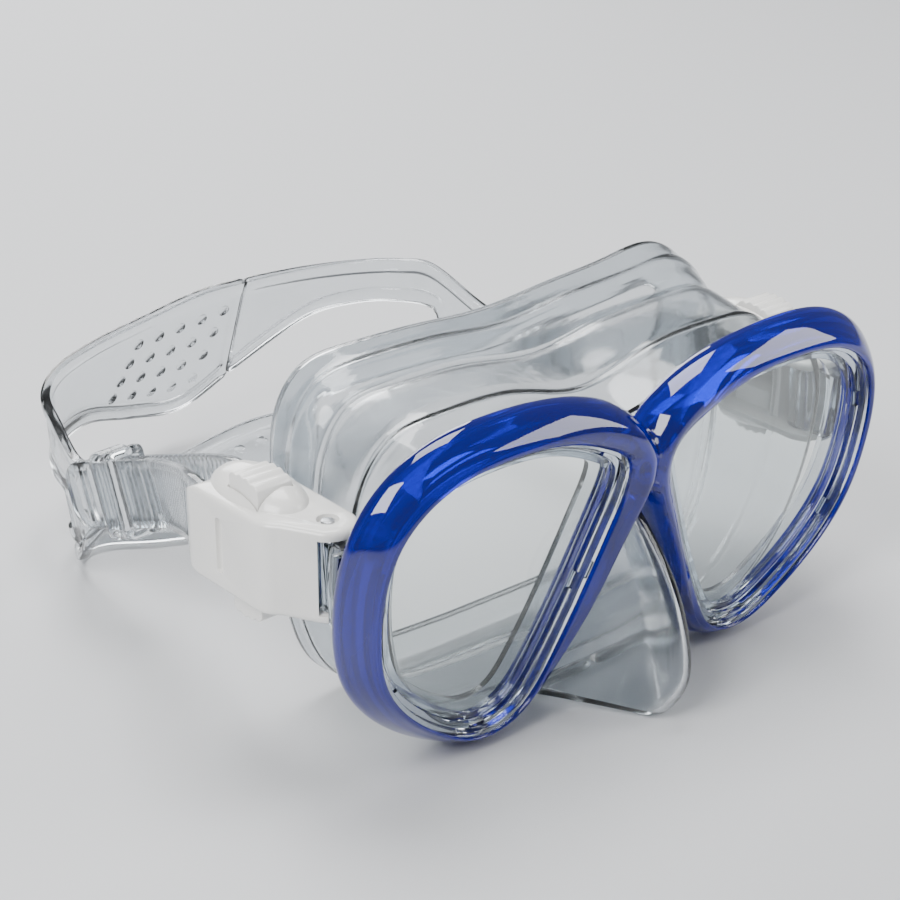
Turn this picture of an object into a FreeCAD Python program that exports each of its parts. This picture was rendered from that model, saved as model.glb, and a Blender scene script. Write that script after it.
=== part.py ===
"""Twin-lens diving mask with a split head strap, resting on its lower rim, skirt and strap.

Millimetres.  X runs across the mask (the wearer's left is +X), Y runs from the lenses back
towards the wearer's head and Z is up.  The frame, lenses and skirt are drawn upright and then
leaned forward by `face_lean`; buckles and strap are drawn as they lie on the floor.
"""
import math
import os

import FreeCAD
import Part

from FreeCAD import Vector

os.makedirs("parts", exist_ok=True)

# ---------------------------------------------------------------- overall sizes
lens_span = 150.0          # across both lens openings
drawn_span = 150.0         # lens span that the outlines below are drawn for
stretch = lens_span / drawn_span
face_lean = 8.45           # degrees the front face leans forward at its top
rest_height = 4.3          # lens openings' lowest point above the floor
middle_offset = 80.2       # from the lens plane back to the middle of the whole mask

# ---------------------------------------------------------------- rim and lenses
rim_front = -4.0           # foremost line of the rim
rim_back = 9.5             # rear face of the rim
rim_rake = 0.035           # how much further back the rim sits per mm of drop
retainer_front = 0.6       # front edge of the clear retainer ring
retainer_back = 9.3        # rear edge of the clear retainer ring
retainer_lap = 1.5         # retainer reaches this far outside the lens opening
rim_fit = 0.05             # gap between rim and retainer
bezel_steps = ((1.0, 0.6), (2.5, 2.2), (4.4, 3.4))   # inset and start depth of each bezel step
bezel_throat = 0.62        # share of the rim width where the front funnel opens
lens_front = 4.3           # depth of the lens face behind the opening
lens_thickness = 3.2
lens_edge_inset = 2.4      # lens edge inside the lens opening
lens_fit = 0.05            # gap between the lens edge and its retainer

# ---------------------------------------------------------------- skirt
skirt_wall = 2.0
flange_back = 11.2         # rear face of the flange clamped behind the rim
gasket_inset = 5.6         # lens gasket's inner edge inside the lens opening
lip_width = 11.0           # sealing lip, measured inward from the skirt's outer edge
lip_thickness = 1.4

# ---------------------------------------------------------------- buckles
pin_out = 0.49 * lens_span # hinge pin centre from the mask's middle plane
pin_depth = 13.0
pin_radius = 1.5
pin_fit = 0.05             # running fit of lug barrel on the pin
buckle_level = 48.5        # middle height of the buckle above the lens openings' lowest point
plate_thickness = 2.2
strap_width = 17.0
strap_side_gap = 0.3       # between each strap edge and the buckle plate beside it
strap_thickness = 2.6
layer_gap = 0.4            # between the strap and its returned tail
roller_out = pin_out + 1.0
roller_depth = 44.5
roller_radius = 5.0
roller_side_gap = 0.3
roller_fit = 0.1           # between the roller and the strap turned round it
axle_radius = 1.5
axle_fit = 0.05            # running fit of the roller on its axle
axle_cover = 0.8           # plate left over each end of the axle
cover_thickness = 2.0
tail_room = 1.8            # between the tail and the inside of the cover
cover_out = roller_out + roller_radius + roller_fit + strap_thickness + tail_room + cover_thickness
buckle_back = 52.0
nose_radius = 6.6          # rounding of the plates about the hinge pin
inner_edge = pin_out - 6.9 # plates' edge beside the skirt
button_travel = 2.5
button_proud = 2.9         # left standing above the plate when pressed home
button_root = 4.6          # reach of the button inside the plate
button_gap = 0.3
button_rib_radius = 0.8
button_rib_pitch = 2.6
button_rib_count = 4
button_window = (pin_out - 0.5, pin_out + 9.3, 25.2, 36.2)     # inner, outer, front, back edges
groove_height = 13.0       # thumb groove in the cover
groove_width = 2.2
groove_sink = 1.2
groove_depth = 34.5
lug_gap = 0.4              # above and below the lug
lug_radius = 4.2
lug_foot = 2.6             # depth of the lug's foot behind the rim
swing_gap = 0.5            # break in the strap between buckle tongue and rear strap

# ---------------------------------------------------------------- strap
tongue_end = 112.0         # where the buckle's strap end stops
strap_reach = 181.0        # rearmost part of the head strap
drawn_reach = 181.0        # strap reach that the stations below are drawn for
tail_straight = 33.0       # straight length of the returned tail
tail_tip_length = 6.5      # narrowing end of the tail
keeper_place = 18.0        # keeper's middle along the straight stretch
keeper_corner = 1.4
keeper_wall = 2.2
keeper_length = 8.0
keeper_gap = 0.3

half_gap = strap_width / 2 + strap_side_gap
half_housing = half_gap + plate_thickness
low_face = buckle_level - half_housing
high_face = buckle_level + half_housing
low_gap = buckle_level - half_gap
high_gap = buckle_level + half_gap
floor = -rest_height
over = 1.0                 # cutters run this far past what they cut
far = 240.0                # larger than the whole mask, for trimming slabs

# lens opening: across, up, and the width of coloured rim outside that point
opening = (
    (7.2, 61.0, 8.5),
    (14.0, 66.4, 10.5),
    (29.0, 72.2, 12.0),
    (45.0, 73.4, 12.0),
    (60.0, 70.8, 12.0),
    (70.2, 62.8, 11.8),
    (74.2, 51.5, 11.5),
    (74.4, 40.0, 11.5),
    (71.6, 26.5, 11.0),
    (64.1, 14.9, 9.5),
    (53.0, 5.3, 6.5),
    (41.0, 0.0, 4.8),
    (31.5, 2.2, 4.8),
    (24.5, 11.2, 4.8),
    (16.0, 29.5, 5.0),
    (9.3, 46.5, 6.5),
)

# closed outlines of the skirt (right half, from top middle round to bottom middle)
flange_half = ((0, 66), (20, 74), (45, 78), (63, 74), (72, 64), (76, 48), (75, 34), (70, 20),
               (60, 7), (50, 0), (41, -3), (28, -3.5), (14, -4.6), (0, -5))
wall_front_half = ((0, 63), (20, 70), (42, 72), (57, 69), (64.5, 59), (66.5, 47), (65.5, 33),
                   (61, 18), (52, 5), (43, -1), (33, -2.5), (20, -4), (10, -4.6), (0, -5))
wall_middle_half = ((0, 67), (20, 70.5), (42, 71.5), (56, 69), (62.5, 60), (64.5, 47), (64, 32),
                    (60, 16), (52, 3), (42, -4), (31, -6), (20, -6.8), (10, -7.2), (0, -7.4))
wall_back_half = ((0, 70), (20, 71), (40, 71.5), (54, 69.5), (61.5, 61), (63.8, 47), (63.5, 30),
                  (60, 13), (53, 0), (43, -7), (31, -9), (20, -9.6), (10, -9.9), (0, -10))

# depth of each wall outline at the lens openings' foot, and how much deeper per mm up
wall_depths = ((10.0, 0.0), (26.0, 0.10), (45.0, 0.22))

# nose pocket stations: height, depth of tip, half width at the rim's gap, tip rounding
pocket_stations = (
    (46.0, 3.0, 2.8, 1.6),
    (36.0, -8.5, 6.2, 2.6),
    (25.0, -16.5, 10.6, 3.6),
    (11.0, -20.5, 17.4, 4.6),
    (0.0, -16.5, 22.0, 5.0),
    (-2.4, -12.5, 23.0, 5.0),
)
pocket_back = 16.0
least_rounding = 0.6       # smallest rounding inside the pocket's tip


def across(point):
    """Scale an (across, up) pair with the chosen lens span."""
    return point[0] * stretch, point[1] * stretch


def slab(front, back):
    """Wide slab between two depths, for trimming the front assembly."""
    return Part.makeBox(far, back - front, far, Vector(-far / 2, front, -far / 3))


def smooth_loop(points):
    """Closed smooth wire through 3-D points."""
    curve = Part.BSplineCurve()
    curve.interpolate(points, PeriodicFlag=True)
    return Part.Wire([curve.toShape()])


def grown(loop, amounts):
    """Move each (across, up) point of a loop outward by its own amount."""
    moved = []
    count = len(loop)
    for index, (x, z) in enumerate(loop):
        x_before, z_before = loop[index - 1]
        x_after, z_after = loop[(index + 1) % count]
        along = math.hypot(x_after - x_before, z_after - z_before)
        outward_x = -(z_after - z_before) / along
        outward_z = (x_after - x_before) / along
        moved.append((x + outward_x * amounts[index], z + outward_z * amounts[index]))
    return moved


def opening_loop(grow=0.0, rim_share=0.0):
    """Lens opening grown by a fixed amount plus a share of the local rim width."""
    loop = [across((x, z)) for x, z, width in opening]
    amounts = [grow + rim_share * width * stretch for x, z, width in opening]
    return grown(loop, amounts)


def opening_wire(depth, grow=0.0, rim_share=0.0, rake=0.0):
    """Outline of the lens opening at a depth; `rake` sets it back per mm below its top."""
    top = max(z for x, z, width in opening)
    points = [Vector(x, depth + rake * (top - z), z) for x, z in opening_loop(grow, rim_share)]
    return smooth_loop(points)


def opening_prism(front, back, grow):
    """Straight plug of the lens opening's shape between two depths."""
    face = Part.Face(opening_wire(front, grow))
    return face.extrude(Vector(0, back - front, 0))


def mirrored(shape):
    """Twin of a shape on the other side of the mask."""
    return shape.mirror(Vector(0, 0, 0), Vector(1, 0, 0))


def leaned(shape):
    """Lean an upright front piece forward about the lower edge of the lens openings."""
    copy = shape.copy()
    copy.rotate(Vector(0, 0, 0), Vector(1, 0, 0), face_lean)
    return copy


# ---------------------------------------------------------------- front assembly
def rim_half():
    """One rounded ring of the coloured rim, before the pair is joined."""
    profile = (
        (rim_back + 2.0, 0.34),
        (rim_back - 2.5, 0.78),
        (rim_front + 7.4, 0.97),
        (rim_front + 4.2, 0.99),
        (rim_front + 1.4, 0.80),
        (rim_front, 0.48),
    )
    wires = [opening_wire(depth, 0.0, share, rim_rake) for depth, share in profile]
    return Part.makeLoft(wires, True, False)


def rim():
    """Coloured rim: two rings joined over the nose, open in front and rebated behind."""
    ring = rim_half()
    mouth = opening_wire(rim_front - 1.5 * over, 0.0, bezel_throat)
    funnel = Part.makeLoft([mouth, opening_wire(0.0)], True, True)
    bore = opening_prism(-over / 2, retainer_front + over, 0.0)
    rebate = opening_prism(retainer_front - rim_fit, 2 * retainer_back, retainer_lap + rim_fit)
    body = ring.fuse(mirrored(ring))
    for cutter in (funnel, bore, rebate):
        body = body.cut(cutter)
        body = body.cut(mirrored(cutter))
    return body.cut(slab(rim_back, 3 * rim_back)).removeSplitter()


def lens_retainer():
    """Clear ring that steps inward to the lens and holds it from behind the rim."""
    overlap = 0.01
    ring = opening_prism(retainer_front, retainer_back, retainer_lap)
    for index, (inset, start) in enumerate(bezel_steps):
        stop = bezel_steps[index + 1][1] if index + 1 < len(bezel_steps) else lens_front
        ring = ring.cut(opening_prism(start - overlap, stop + overlap, -inset))
    ring = ring.cut(opening_prism(lens_front, 2 * retainer_back, lens_fit - lens_edge_inset))
    return ring


def lens():
    """Flat glass lens."""
    return opening_prism(lens_front, lens_front + lens_thickness, -lens_edge_inset)


def full_loop(half):
    """Mirror a half outline about the middle plane into a closed loop."""
    half = [across(point) for point in half]
    return half + [(-x, z) for x, z in reversed(half[1:-1])]


def skirt_wire(half, depth, slope=0.0, inset=0.0):
    """Closed skirt outline at a depth that grows by `slope` per mm of height."""
    loop = full_loop(half)
    loop = grown(loop, [-inset] * len(loop))
    return smooth_loop([Vector(x, depth + slope * z, z) for x, z in loop])


def skirt_tube(inset, front_extra, back_extra):
    """Skirt wall as a solid, inset all round and run on at its front and back."""
    outlines = (wall_front_half, wall_middle_half, wall_back_half)
    wires = []
    for outline, (depth, slope) in zip(outlines, wall_depths):
        wires.append(skirt_wire(outline, depth, slope, inset))
    wires[0] = skirt_wire(outlines[0], wall_depths[0][0] - front_extra, 0.0, inset)
    wires[2] = skirt_wire(outlines[2], wall_depths[2][0] + back_extra, wall_depths[2][1], inset)
    return Part.makeLoft(wires, True, False)


def pocket_wire(station, inset):
    """Level outline of the nose pocket: rounded tip in front, straight flanks to the skirt."""
    height, tip, half_width, rounding = station
    half_width, height = across((half_width, height))
    half_width = half_width - inset
    rounding = max(rounding - inset, least_rounding)
    tip = tip + inset
    reach = pocket_back - tip
    spread = math.atan2(half_width - rounding, reach - rounding)
    side_x = rounding * math.cos(spread)
    side_y = tip + rounding - rounding * math.sin(spread)
    left_back = Vector(-half_width, pocket_back, height)
    right_back = Vector(half_width, pocket_back, height)
    left_side = Vector(-side_x, side_y, height)
    right_side = Vector(side_x, side_y, height)
    arc = Part.Arc(left_side, Vector(0, tip, height), right_side).toShape()
    edges = [
        Part.makeLine(left_back, left_side),
        arc,
        Part.makeLine(right_side, right_back),
        Part.makeLine(right_back, left_back),
    ]
    return Part.Wire(edges)


def nose_pocket(inset):
    """Nose pocket as a solid, inset all round but for its open back."""
    wires = []
    lowest = pocket_stations[-1][0]
    for height, tip, half_width, rounding in pocket_stations:
        if height == lowest:
            height = height + inset
        wires.append(pocket_wire((height, tip, half_width, rounding), inset))
    return Part.makeLoft(wires, True, True)


def skirt():
    """Clear skirt: clamped flange, lens gaskets, wall, nose pocket and sealing lip."""
    flange = Part.Face(skirt_wire(flange_half, rim_back)).extrude(Vector(0, flange_back - rim_back, 0))
    gasket_fit = 0.2
    gasket = opening_prism(lens_front + lens_thickness, rim_back + over / 2,
                           -lens_edge_inset - gasket_fit)
    tube = skirt_tube(0.0, 0.0, 0.0)
    hollow = skirt_tube(skirt_wall, -2.0 * over, 8.0 * over)
    lip_plane = wall_depths[2][0] - lip_thickness
    slope = wall_depths[2][1]
    lip_start = 0.3
    lip_outer = Part.Face(skirt_wire(wall_back_half, lip_plane, slope, lip_start))
    lip_inner = Part.Face(skirt_wire(wall_back_half, lip_plane - over, slope, lip_width))
    lip = lip_outer.extrude(Vector(0, lip_thickness, 0))
    lip = lip.cut(lip_inner.extrude(Vector(0, lip_thickness + 4.0 * over, 0)))
    body = flange.fuse([gasket, mirrored(gasket)])
    window = opening_prism(0.0, pocket_back, -gasket_inset)
    body = body.fuse(nose_pocket(0.0))
    body = body.fuse(tube)
    body = body.cut(hollow)
    body = body.cut(window).cut(mirrored(window))
    body = body.cut(nose_pocket(skirt_wall))
    body = body.fuse(lip)
    return body.removeSplitter()


def notched_for_lugs(shape):
    """Relieve the leaned skirt's flange where the buckle brackets pass through it."""
    notch = Part.makeBox(40.0, 26.0, 2 * half_gap, Vector(pin_out - lug_radius, -18.0, low_gap))
    return shape.cut(notch).cut(mirrored(notch))


# ---------------------------------------------------------------- buckle (drawn on the +X side)
def upright_cylinder(out, depth, radius, low, high):
    """Upright cylinder between two heights."""
    return Part.makeCylinder(radius, high - low, Vector(out, depth, low), Vector(0, 0, 1))


def side_plate_face(level):
    """Outline of the buckle's top and bottom plate: rounded nose round the pin, wide tail."""
    nose = Vector(pin_out, pin_depth - nose_radius, level)
    nose_inner = Vector(pin_out - nose_radius, pin_depth, level)
    nose_outer = Vector(pin_out + nose_radius * 0.8, pin_depth - nose_radius * 0.6, level)
    outer_front = Vector(cover_out, pin_depth + 3.0, level)
    outer_back = Vector(cover_out, buckle_back - 9.0, level)
    back_outer = Vector(cover_out - 4.5, buckle_back, level)
    bulge = Vector(cover_out - 1.2, buckle_back - 4.2, level)
    back_inner = Vector(inner_edge + 1.5, buckle_back, level)
    inner_back = Vector(inner_edge, buckle_back - 1.5, level)
    edges = [
        Part.Arc(nose_inner, nose, nose_outer).toShape(),
        Part.makeLine(nose_outer, outer_front),
        Part.makeLine(outer_front, outer_back),
        Part.Arc(outer_back, bulge, back_outer).toShape(),
        Part.makeLine(back_outer, back_inner),
        Part.makeLine(back_inner, inner_back),
        Part.makeLine(inner_back, nose_inner),
    ]
    return Part.Face(Part.Wire(edges))


def button_block(low, high, inset):
    """Upright block of a button slot's outline, inset all round."""
    inner, outer, front, back = button_window
    return Part.makeBox(outer - inner - 2 * inset, back - front - 2 * inset, high - low,
                        Vector(inner + inset, front + inset, low))


def housing():
    """Two plates joined by a front wall, bored for the pin and axle, slotted for the buttons."""
    wall_width, wall_depth, wall_root = 9.0, 2.0, 0.2
    body = side_plate_face(low_face).extrude(Vector(0, 0, plate_thickness))
    top = side_plate_face(high_gap).extrude(Vector(0, 0, plate_thickness))
    front_wall = Part.makeBox(wall_width, wall_depth, 2 * (half_gap + wall_root),
                              Vector(pin_out - 2.0, pin_depth + nose_radius + 1.0, low_gap - wall_root))
    body = body.fuse([top, front_wall])
    body = body.cut(upright_cylinder(pin_out, pin_depth, pin_radius, low_face - over, high_face + over))
    body = body.cut(roller_axle())
    body = body.cut(button_block(high_gap - over, high_face + over, 0.0))
    body = body.cut(button_block(low_face - over, low_gap + over, 0.0))
    return body.removeSplitter()


def cover_path(out_shift):
    """Outer wall of the buckle seen from above, moved inward by out_shift."""
    front = Vector(pin_out + 6.8, pin_depth + 1.4 + out_shift, 0)
    corner = Vector(cover_out - 1.6 - out_shift, pin_depth + 3.2 + out_shift * 0.6, 0)
    outer_front = Vector(cover_out - 0.2 - out_shift, pin_depth + 7.0, 0)
    outer_back = Vector(cover_out - 0.2 - out_shift, buckle_back - 9.0, 0)
    bulge = Vector(cover_out - 0.6 - out_shift, buckle_back - 4.5, 0)
    back = Vector(cover_out - 1.9 - out_shift, buckle_back - 0.6, 0)
    return front, corner, outer_front, outer_back, bulge, back


def cover():
    """Curved outer wall between the plates, with its thumb groove."""
    outer = cover_path(0.0)
    inner = cover_path(cover_thickness)
    edges = [
        Part.Arc(outer[0], outer[1], outer[2]).toShape(),
        Part.makeLine(outer[2], outer[3]),
        Part.Arc(outer[3], outer[4], outer[5]).toShape(),
        Part.makeLine(outer[5], inner[5]),
        Part.Arc(inner[5], inner[4], inner[3]).toShape(),
        Part.makeLine(inner[3], inner[2]),
        Part.Arc(inner[2], inner[1], inner[0]).toShape(),
        Part.makeLine(inner[0], outer[0]),
    ]
    wall = Part.Face(Part.Wire(edges)).extrude(Vector(0, 0, 2 * half_gap))
    wall.translate(Vector(0, 0, low_gap))
    groove = Part.makeBox(groove_sink, groove_width, groove_height,
                          Vector(cover_out - groove_sink, groove_depth, buckle_level - groove_height / 2))
    return wall.cut(groove)


def button(upward):
    """Ribbed squeeze button: slides up and down through its plate, pawl foot inside."""
    stem_low = high_gap - button_root
    stem_high = high_face + button_travel + button_proud
    body = button_block(stem_low, stem_high, button_gap)
    inner, outer, front, back = button_window
    rib_start = inner + button_gap + button_rib_radius
    rib_length = outer - button_gap - button_rib_radius - rib_start
    for index in range(button_rib_count):
        place = front + 2 * button_rib_radius + index * button_rib_pitch
        rib = Part.makeCylinder(button_rib_radius, rib_length,
                                Vector(rib_start, place, stem_high), Vector(1, 0, 0))
        body = body.fuse(rib)
    body = body.removeSplitter()
    if upward:
        return body
    return body.mirror(Vector(0, 0, buckle_level), Vector(0, 0, 1))


def hinge_pin():
    """Steel pin through both plates and the lug."""
    sunk = 0.2
    return upright_cylinder(pin_out, pin_depth, pin_radius, low_face + sunk, high_face - sunk)


def roller_axle():
    """Steel axle pressed into both plates."""
    return upright_cylinder(roller_out, roller_depth, axle_radius,
                            low_face + axle_cover, high_face - axle_cover)


def roller():
    """Fluted roller that the strap turns round."""
    tube = upright_cylinder(roller_out, roller_depth, roller_radius,
                            low_gap + roller_side_gap, high_gap - roller_side_gap)
    groove_count = 12
    flute_radius = 0.5
    for index in range(groove_count):
        angle = 2 * math.pi * index / groove_count
        tube = tube.cut(upright_cylinder(roller_out + roller_radius * math.cos(angle),
                                         roller_depth + roller_radius * math.sin(angle),
                                         flute_radius, low_gap, high_gap))
    return tube.cut(upright_cylinder(roller_out, roller_depth, axle_radius + axle_fit, low_gap, high_gap))


def lug():
    """Clear bracket on the rim's rear face that carries the hinge pin."""
    low = low_gap + lug_gap
    high = high_gap - lug_gap
    arm_half, arm_reach, foot_width = 3.8, 6.0, 13.0
    barrel = upright_cylinder(pin_out, pin_depth, lug_radius, low, high)
    arm = Part.makeBox(2 * arm_half, pin_depth + arm_reach, high - low,
                       Vector(pin_out - arm_half, -arm_reach, low))
    foot = Part.makeBox(foot_width, 14.0, high - low, Vector(pin_out - arm_half, -9.0, low))
    body = barrel.fuse([arm, foot])
    body = body.cut(leaned(slab(rim_back - far / 4, rim_back)))
    behind_foot = leaned(slab(rim_back + lug_foot, rim_back + far / 4))
    beyond_arm = Part.makeBox(far, far, far, Vector(pin_out + arm_half, -far / 2, -far / 2))
    body = body.cut(behind_foot.common(beyond_arm))
    body = body.cut(upright_cylinder(pin_out, pin_depth, pin_radius + pin_fit, low - over, high + over))
    return body.removeSplitter()


# ---------------------------------------------------------------- strap
def strap_section(top, bottom, ahead, thickness=strap_thickness):
    """Rectangle across the strap between its top and bottom edges; `ahead` is the run direction."""
    top = Vector(*top)
    bottom = Vector(*bottom)
    normal = (top - bottom).cross(Vector(*ahead))
    normal.normalize()
    offset = normal * (thickness / 2)
    corners = [top + offset, top - offset, bottom - offset, bottom + offset]
    return Part.makePolygon(corners + [corners[0]])


def level_section(out, depth, height, ahead, width=strap_width):
    """Section of the tongue, square to its run, centred at the given place."""
    run = Vector(*ahead)
    run.normalize()
    side = run.cross(Vector(0, 0, 1))
    side.normalize()
    up = side.cross(run)
    middle = Vector(out, depth, height)
    top = middle + up * (width / 2)
    bottom = middle - up * (width / 2)
    return strap_section(tuple(top), tuple(bottom), tuple(run))


straight_start = (pin_out - 7.6, 84.0, 37.6)
straight_end = (pin_out - 5.9, tongue_end, 27.4)
straight_run = tuple(b - a for a, b in zip(straight_start, straight_end))
layer_pitch = strap_thickness + layer_gap


def along_straight(distance, outward=0.0):
    """Place on the straight stretch of the tongue, `distance` mm past its start."""
    run = Vector(*straight_run)
    run.normalize()
    side = run.cross(Vector(0, 0, 1))
    side.normalize()
    place = Vector(*straight_start) + run * distance + side * outward
    return tuple(place)


straight_length = Vector(*straight_run).Length
main_out = roller_out - roller_radius - roller_fit - strap_thickness / 2
tail_out = roller_out + roller_radius + roller_fit + strap_thickness / 2

# strap between buckle and straight stretch: place and run direction of each section
main_path = (
    (pin_out - 5.9, buckle_back + 4.0, buckle_level - 0.7, (-0.08, 1, -0.16)),
    (pin_out - 7.2, buckle_back + 16.0, buckle_level - 4.9, (-0.06, 1, -0.36)),
)
tail_path = (
    (pin_out + 5.9, buckle_back + 3.0, buckle_level - 0.5, (-0.32, 1, -0.12)),
    (pin_out + 1.4, buckle_back + 14.0, buckle_level - 4.1, (-0.32, 1, -0.34)),
)


def swing_cylinder(gap):
    """Round column about the hinge pin that the strap end stops at, grown by a gap."""
    return upright_cylinder(pin_out, pin_depth, tongue_end - pin_depth + gap, -far / 2, far)


def tongue():
    """Strap end: inner layer, turn round the roller and the returned tail outside it."""
    level = buckle_level
    outer_turn = upright_cylinder(roller_out, roller_depth, roller_radius + roller_fit + strap_thickness,
                                  level - strap_width / 2, level + strap_width / 2)
    inner_turn = upright_cylinder(roller_out, roller_depth, roller_radius + roller_fit, 0, far)
    back_half = Part.makeBox(far, far, far, Vector(roller_out - far / 2, roller_depth, 0))
    turn = outer_turn.cut(inner_turn).cut(back_half)
    main_near = Part.makeLoft([
        level_section(main_out, roller_depth, level, (0, 1, 0)),
        level_section(main_out, buckle_back, level, (0, 1, 0)),
        level_section(*main_path[0]),
        level_section(*main_path[1]),
        level_section(*straight_start, straight_run),
    ], True, True)
    main_far = Part.makeLoft([
        level_section(*straight_start, straight_run),
        level_section(*along_straight(straight_length + 4.0), straight_run),
    ], True, True)
    main_far = main_far.common(swing_cylinder(0.0))
    tail_near = Part.makeLoft([
        level_section(tail_out, roller_depth, level, (0, 1, 0)),
        level_section(tail_out - 0.5, buckle_back - 2.0, level, (-0.18, 1, 0)),
        level_section(*tail_path[0]),
        level_section(*tail_path[1]),
        level_section(*along_straight(0.0, layer_pitch), straight_run),
    ], True, True)
    tail_far = Part.makeLoft([
        level_section(*along_straight(0.0, layer_pitch), straight_run),
        level_section(*along_straight(tail_straight, layer_pitch), straight_run),
    ], True, True)
    tip_stations = ((0.0, 1.0), (4.0, 0.8), (tail_tip_length, 0.4))     # along the tip, share of width
    tail_tip = Part.makeLoft([
        level_section(*along_straight(tail_straight + past, layer_pitch), straight_run, strap_width * share)
        for past, share in tip_stations
    ], True, True)
    return turn.fuse([main_near, main_far, tail_near, tail_far, tail_tip]).removeSplitter()


keeper_fit_check = 0.01    # edges this close to the keeper's length run along it


def keeper():
    """Clear loop that holds the tail against the strap; slides along the straight stretch."""
    run = Vector(*straight_run)
    run.normalize()
    side = run.cross(Vector(0, 0, 1))
    side.normalize()
    up = side.cross(run)
    middle = Vector(*along_straight(keeper_place, layer_pitch / 2))
    inner_thick = layer_pitch + strap_thickness + 2 * keeper_gap
    inner_wide = strap_width + 2 * keeper_gap

    def block(thick, wide, long):
        """Block centred on the keeper, square to the strap."""
        corner = middle - side * (thick / 2) - up * (wide / 2) - run * (long / 2)
        base = Part.makePolygon([corner, corner + side * thick, corner + side * thick + up * wide,
                                 corner + up * wide, corner])
        return Part.Face(base).extrude(run * long)

    outer = block(inner_thick + 2 * keeper_wall, inner_wide + 2 * keeper_wall, keeper_length)
    long_edges = [edge for edge in outer.Edges if abs(edge.Length - keeper_length) < keeper_fit_check]
    outer = outer.makeFillet(keeper_corner, long_edges)
    return outer.cut(block(inner_thick, inner_wide, keeper_length + 2))


def behind(point):
    """Place of a rear strap point for the chosen pin spacing and strap reach."""
    x, y, z = point
    share = (strap_reach - tongue_end) / (drawn_reach - tongue_end)
    return (x * stretch, tongue_end + (y - tongue_end) * share, z)


# strap behind the tongues: top edge, bottom edge and run direction of each station
root_top = (66.0, 127.5, 30.4)
root_bottom = (66.6, 122.5, 7.0)
corner_top = (62.0, 143.0, 34.0)
corner_bottom = (62.6, 134.6, floor)
upper_stations = (
    ((62.0, 143.0, 34.0), (62.2, 139.2, 16.0), (-0.10, 1, 0)),
    ((58.6, 153.5, 35.5), (58.9, 150.5, 17.5), (-0.8, 1, 0)),
    ((50.0, 160.5, 38.0), (50.5, 162.0, 17.5), (-1, 0.55, 0)),
    ((36.0, 164.4, 42.0), (36.5, 171.5, 14.5), (-1, 0.25, 0)),
    ((18.0, 166.5, 45.2), (18.0, 178.8, 9.0), (-1, 0.1, 0)),
    ((0.0, 167.0, 46.4), (0.0, 181.0, 7.2), (-1, 0, 0)),
)
lower_stations = (
    ((62.4, 137.0, 6.0), (62.6, 134.6, floor), (-0.10, 1, 0)),
    ((59.4, 144.2, 5.2), (59.8, 140.0, floor), (-0.7, 0.7, 0)),
    ((52.5, 146.6, 5.4), (53.0, 138.6, floor), (-1, -0.05, 0)),
    ((38.0, 146.0, 8.0), (38.4, 130.0, floor), (-1, -0.12, 0)),
    ((20.0, 145.8, 12.6), (20.2, 123.0, floor), (-1, -0.05, 0)),
    ((0.0, 146.0, 15.0), (0.0, 120.6, floor), (-1, 0, 0)),
)


edge_lift = 0.42           # share of the strap's thickness that a slanted lower edge sinks


def raised(point, thickness=strap_thickness):
    """Keep the lowest strap edges just off the floor."""
    x, y, z = behind(point)
    if z <= floor:
        z = floor + thickness * edge_lift
    return (x, y, z)


def other_side(point):
    """Mirror a point across the middle plane."""
    return (-point[0], point[1], point[2])


def strap_band(stations):
    """One smooth band from the left bend round the back to the right bend."""
    sections = [strap_section(raised(top), raised(bottom), run) for top, bottom, run in stations]
    for top, bottom, run in reversed(stations[:-1]):
        onward = (run[0], -run[1], -run[2])
        sections.append(strap_section(raised(other_side(top)), raised(other_side(bottom)), onward))
    return Part.makeLoft(sections, True, False)


def strap_root():
    """Widening sheet from the tongue's end to the bend where the strap divides."""
    bend_run = (-0.10, 1, 0)
    body = Part.makeLoft([
        level_section(*along_straight(straight_length - 6.0), straight_run),
        level_section(*along_straight(straight_length + 3.0), straight_run),
        strap_section(behind(root_top), behind(root_bottom), bend_run),
        strap_section(behind(corner_top), raised(corner_bottom), bend_run),
    ], True, True)
    return body.cut(swing_cylinder(swing_gap))


def rear_strap():
    """Head strap behind the tongues: two roots and the upper and lower bands."""
    upper = strap_band(upper_stations)
    lower = strap_band(lower_stations)
    root = strap_root()
    whole = upper.fuse([lower, root, mirrored(root)])
    return whole.removeSplitter()


# ---------------------------------------------------------------- write the pieces
pieces = {}


def both_sides(name, left_shape):
    """File a piece drawn on the wearer's left together with its mirror twin."""
    pieces["left_" + name] = left_shape
    pieces["right_" + name] = mirrored(left_shape)


pieces["outer_frame"] = leaned(rim())
pieces["skirt"] = notched_for_lugs(leaned(skirt()))
pieces["strap_back"] = rear_strap()
both_sides("lens_retainer", leaned(lens_retainer()))
both_sides("lens", leaned(lens()))
both_sides("buckle_lug", lug())
both_sides("hinge_pin", hinge_pin())
both_sides("buckle_housing", housing())
both_sides("buckle_cover", cover())
both_sides("button_upper", button(True))
both_sides("button_lower", button(False))
both_sides("roller_axle", roller_axle())
both_sides("strap_roller", roller())
both_sides("strap_tongue", tongue())
both_sides("strap_keeper", keeper())

to_rest = Vector(0, -middle_offset, rest_height)
for name, shape in pieces.items():
    placed = shape.copy()
    placed.translate(to_rest)
    placed.exportStep(os.path.join("parts", name + ".step"))
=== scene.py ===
"""Looks of a twin-lens diving mask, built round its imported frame."""

import logging
import math
from dataclasses import dataclass, field
from enum import Enum
from typing import Iterable, Sequence

import bpy
import numpy as np
from mathutils import Matrix, Vector


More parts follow.
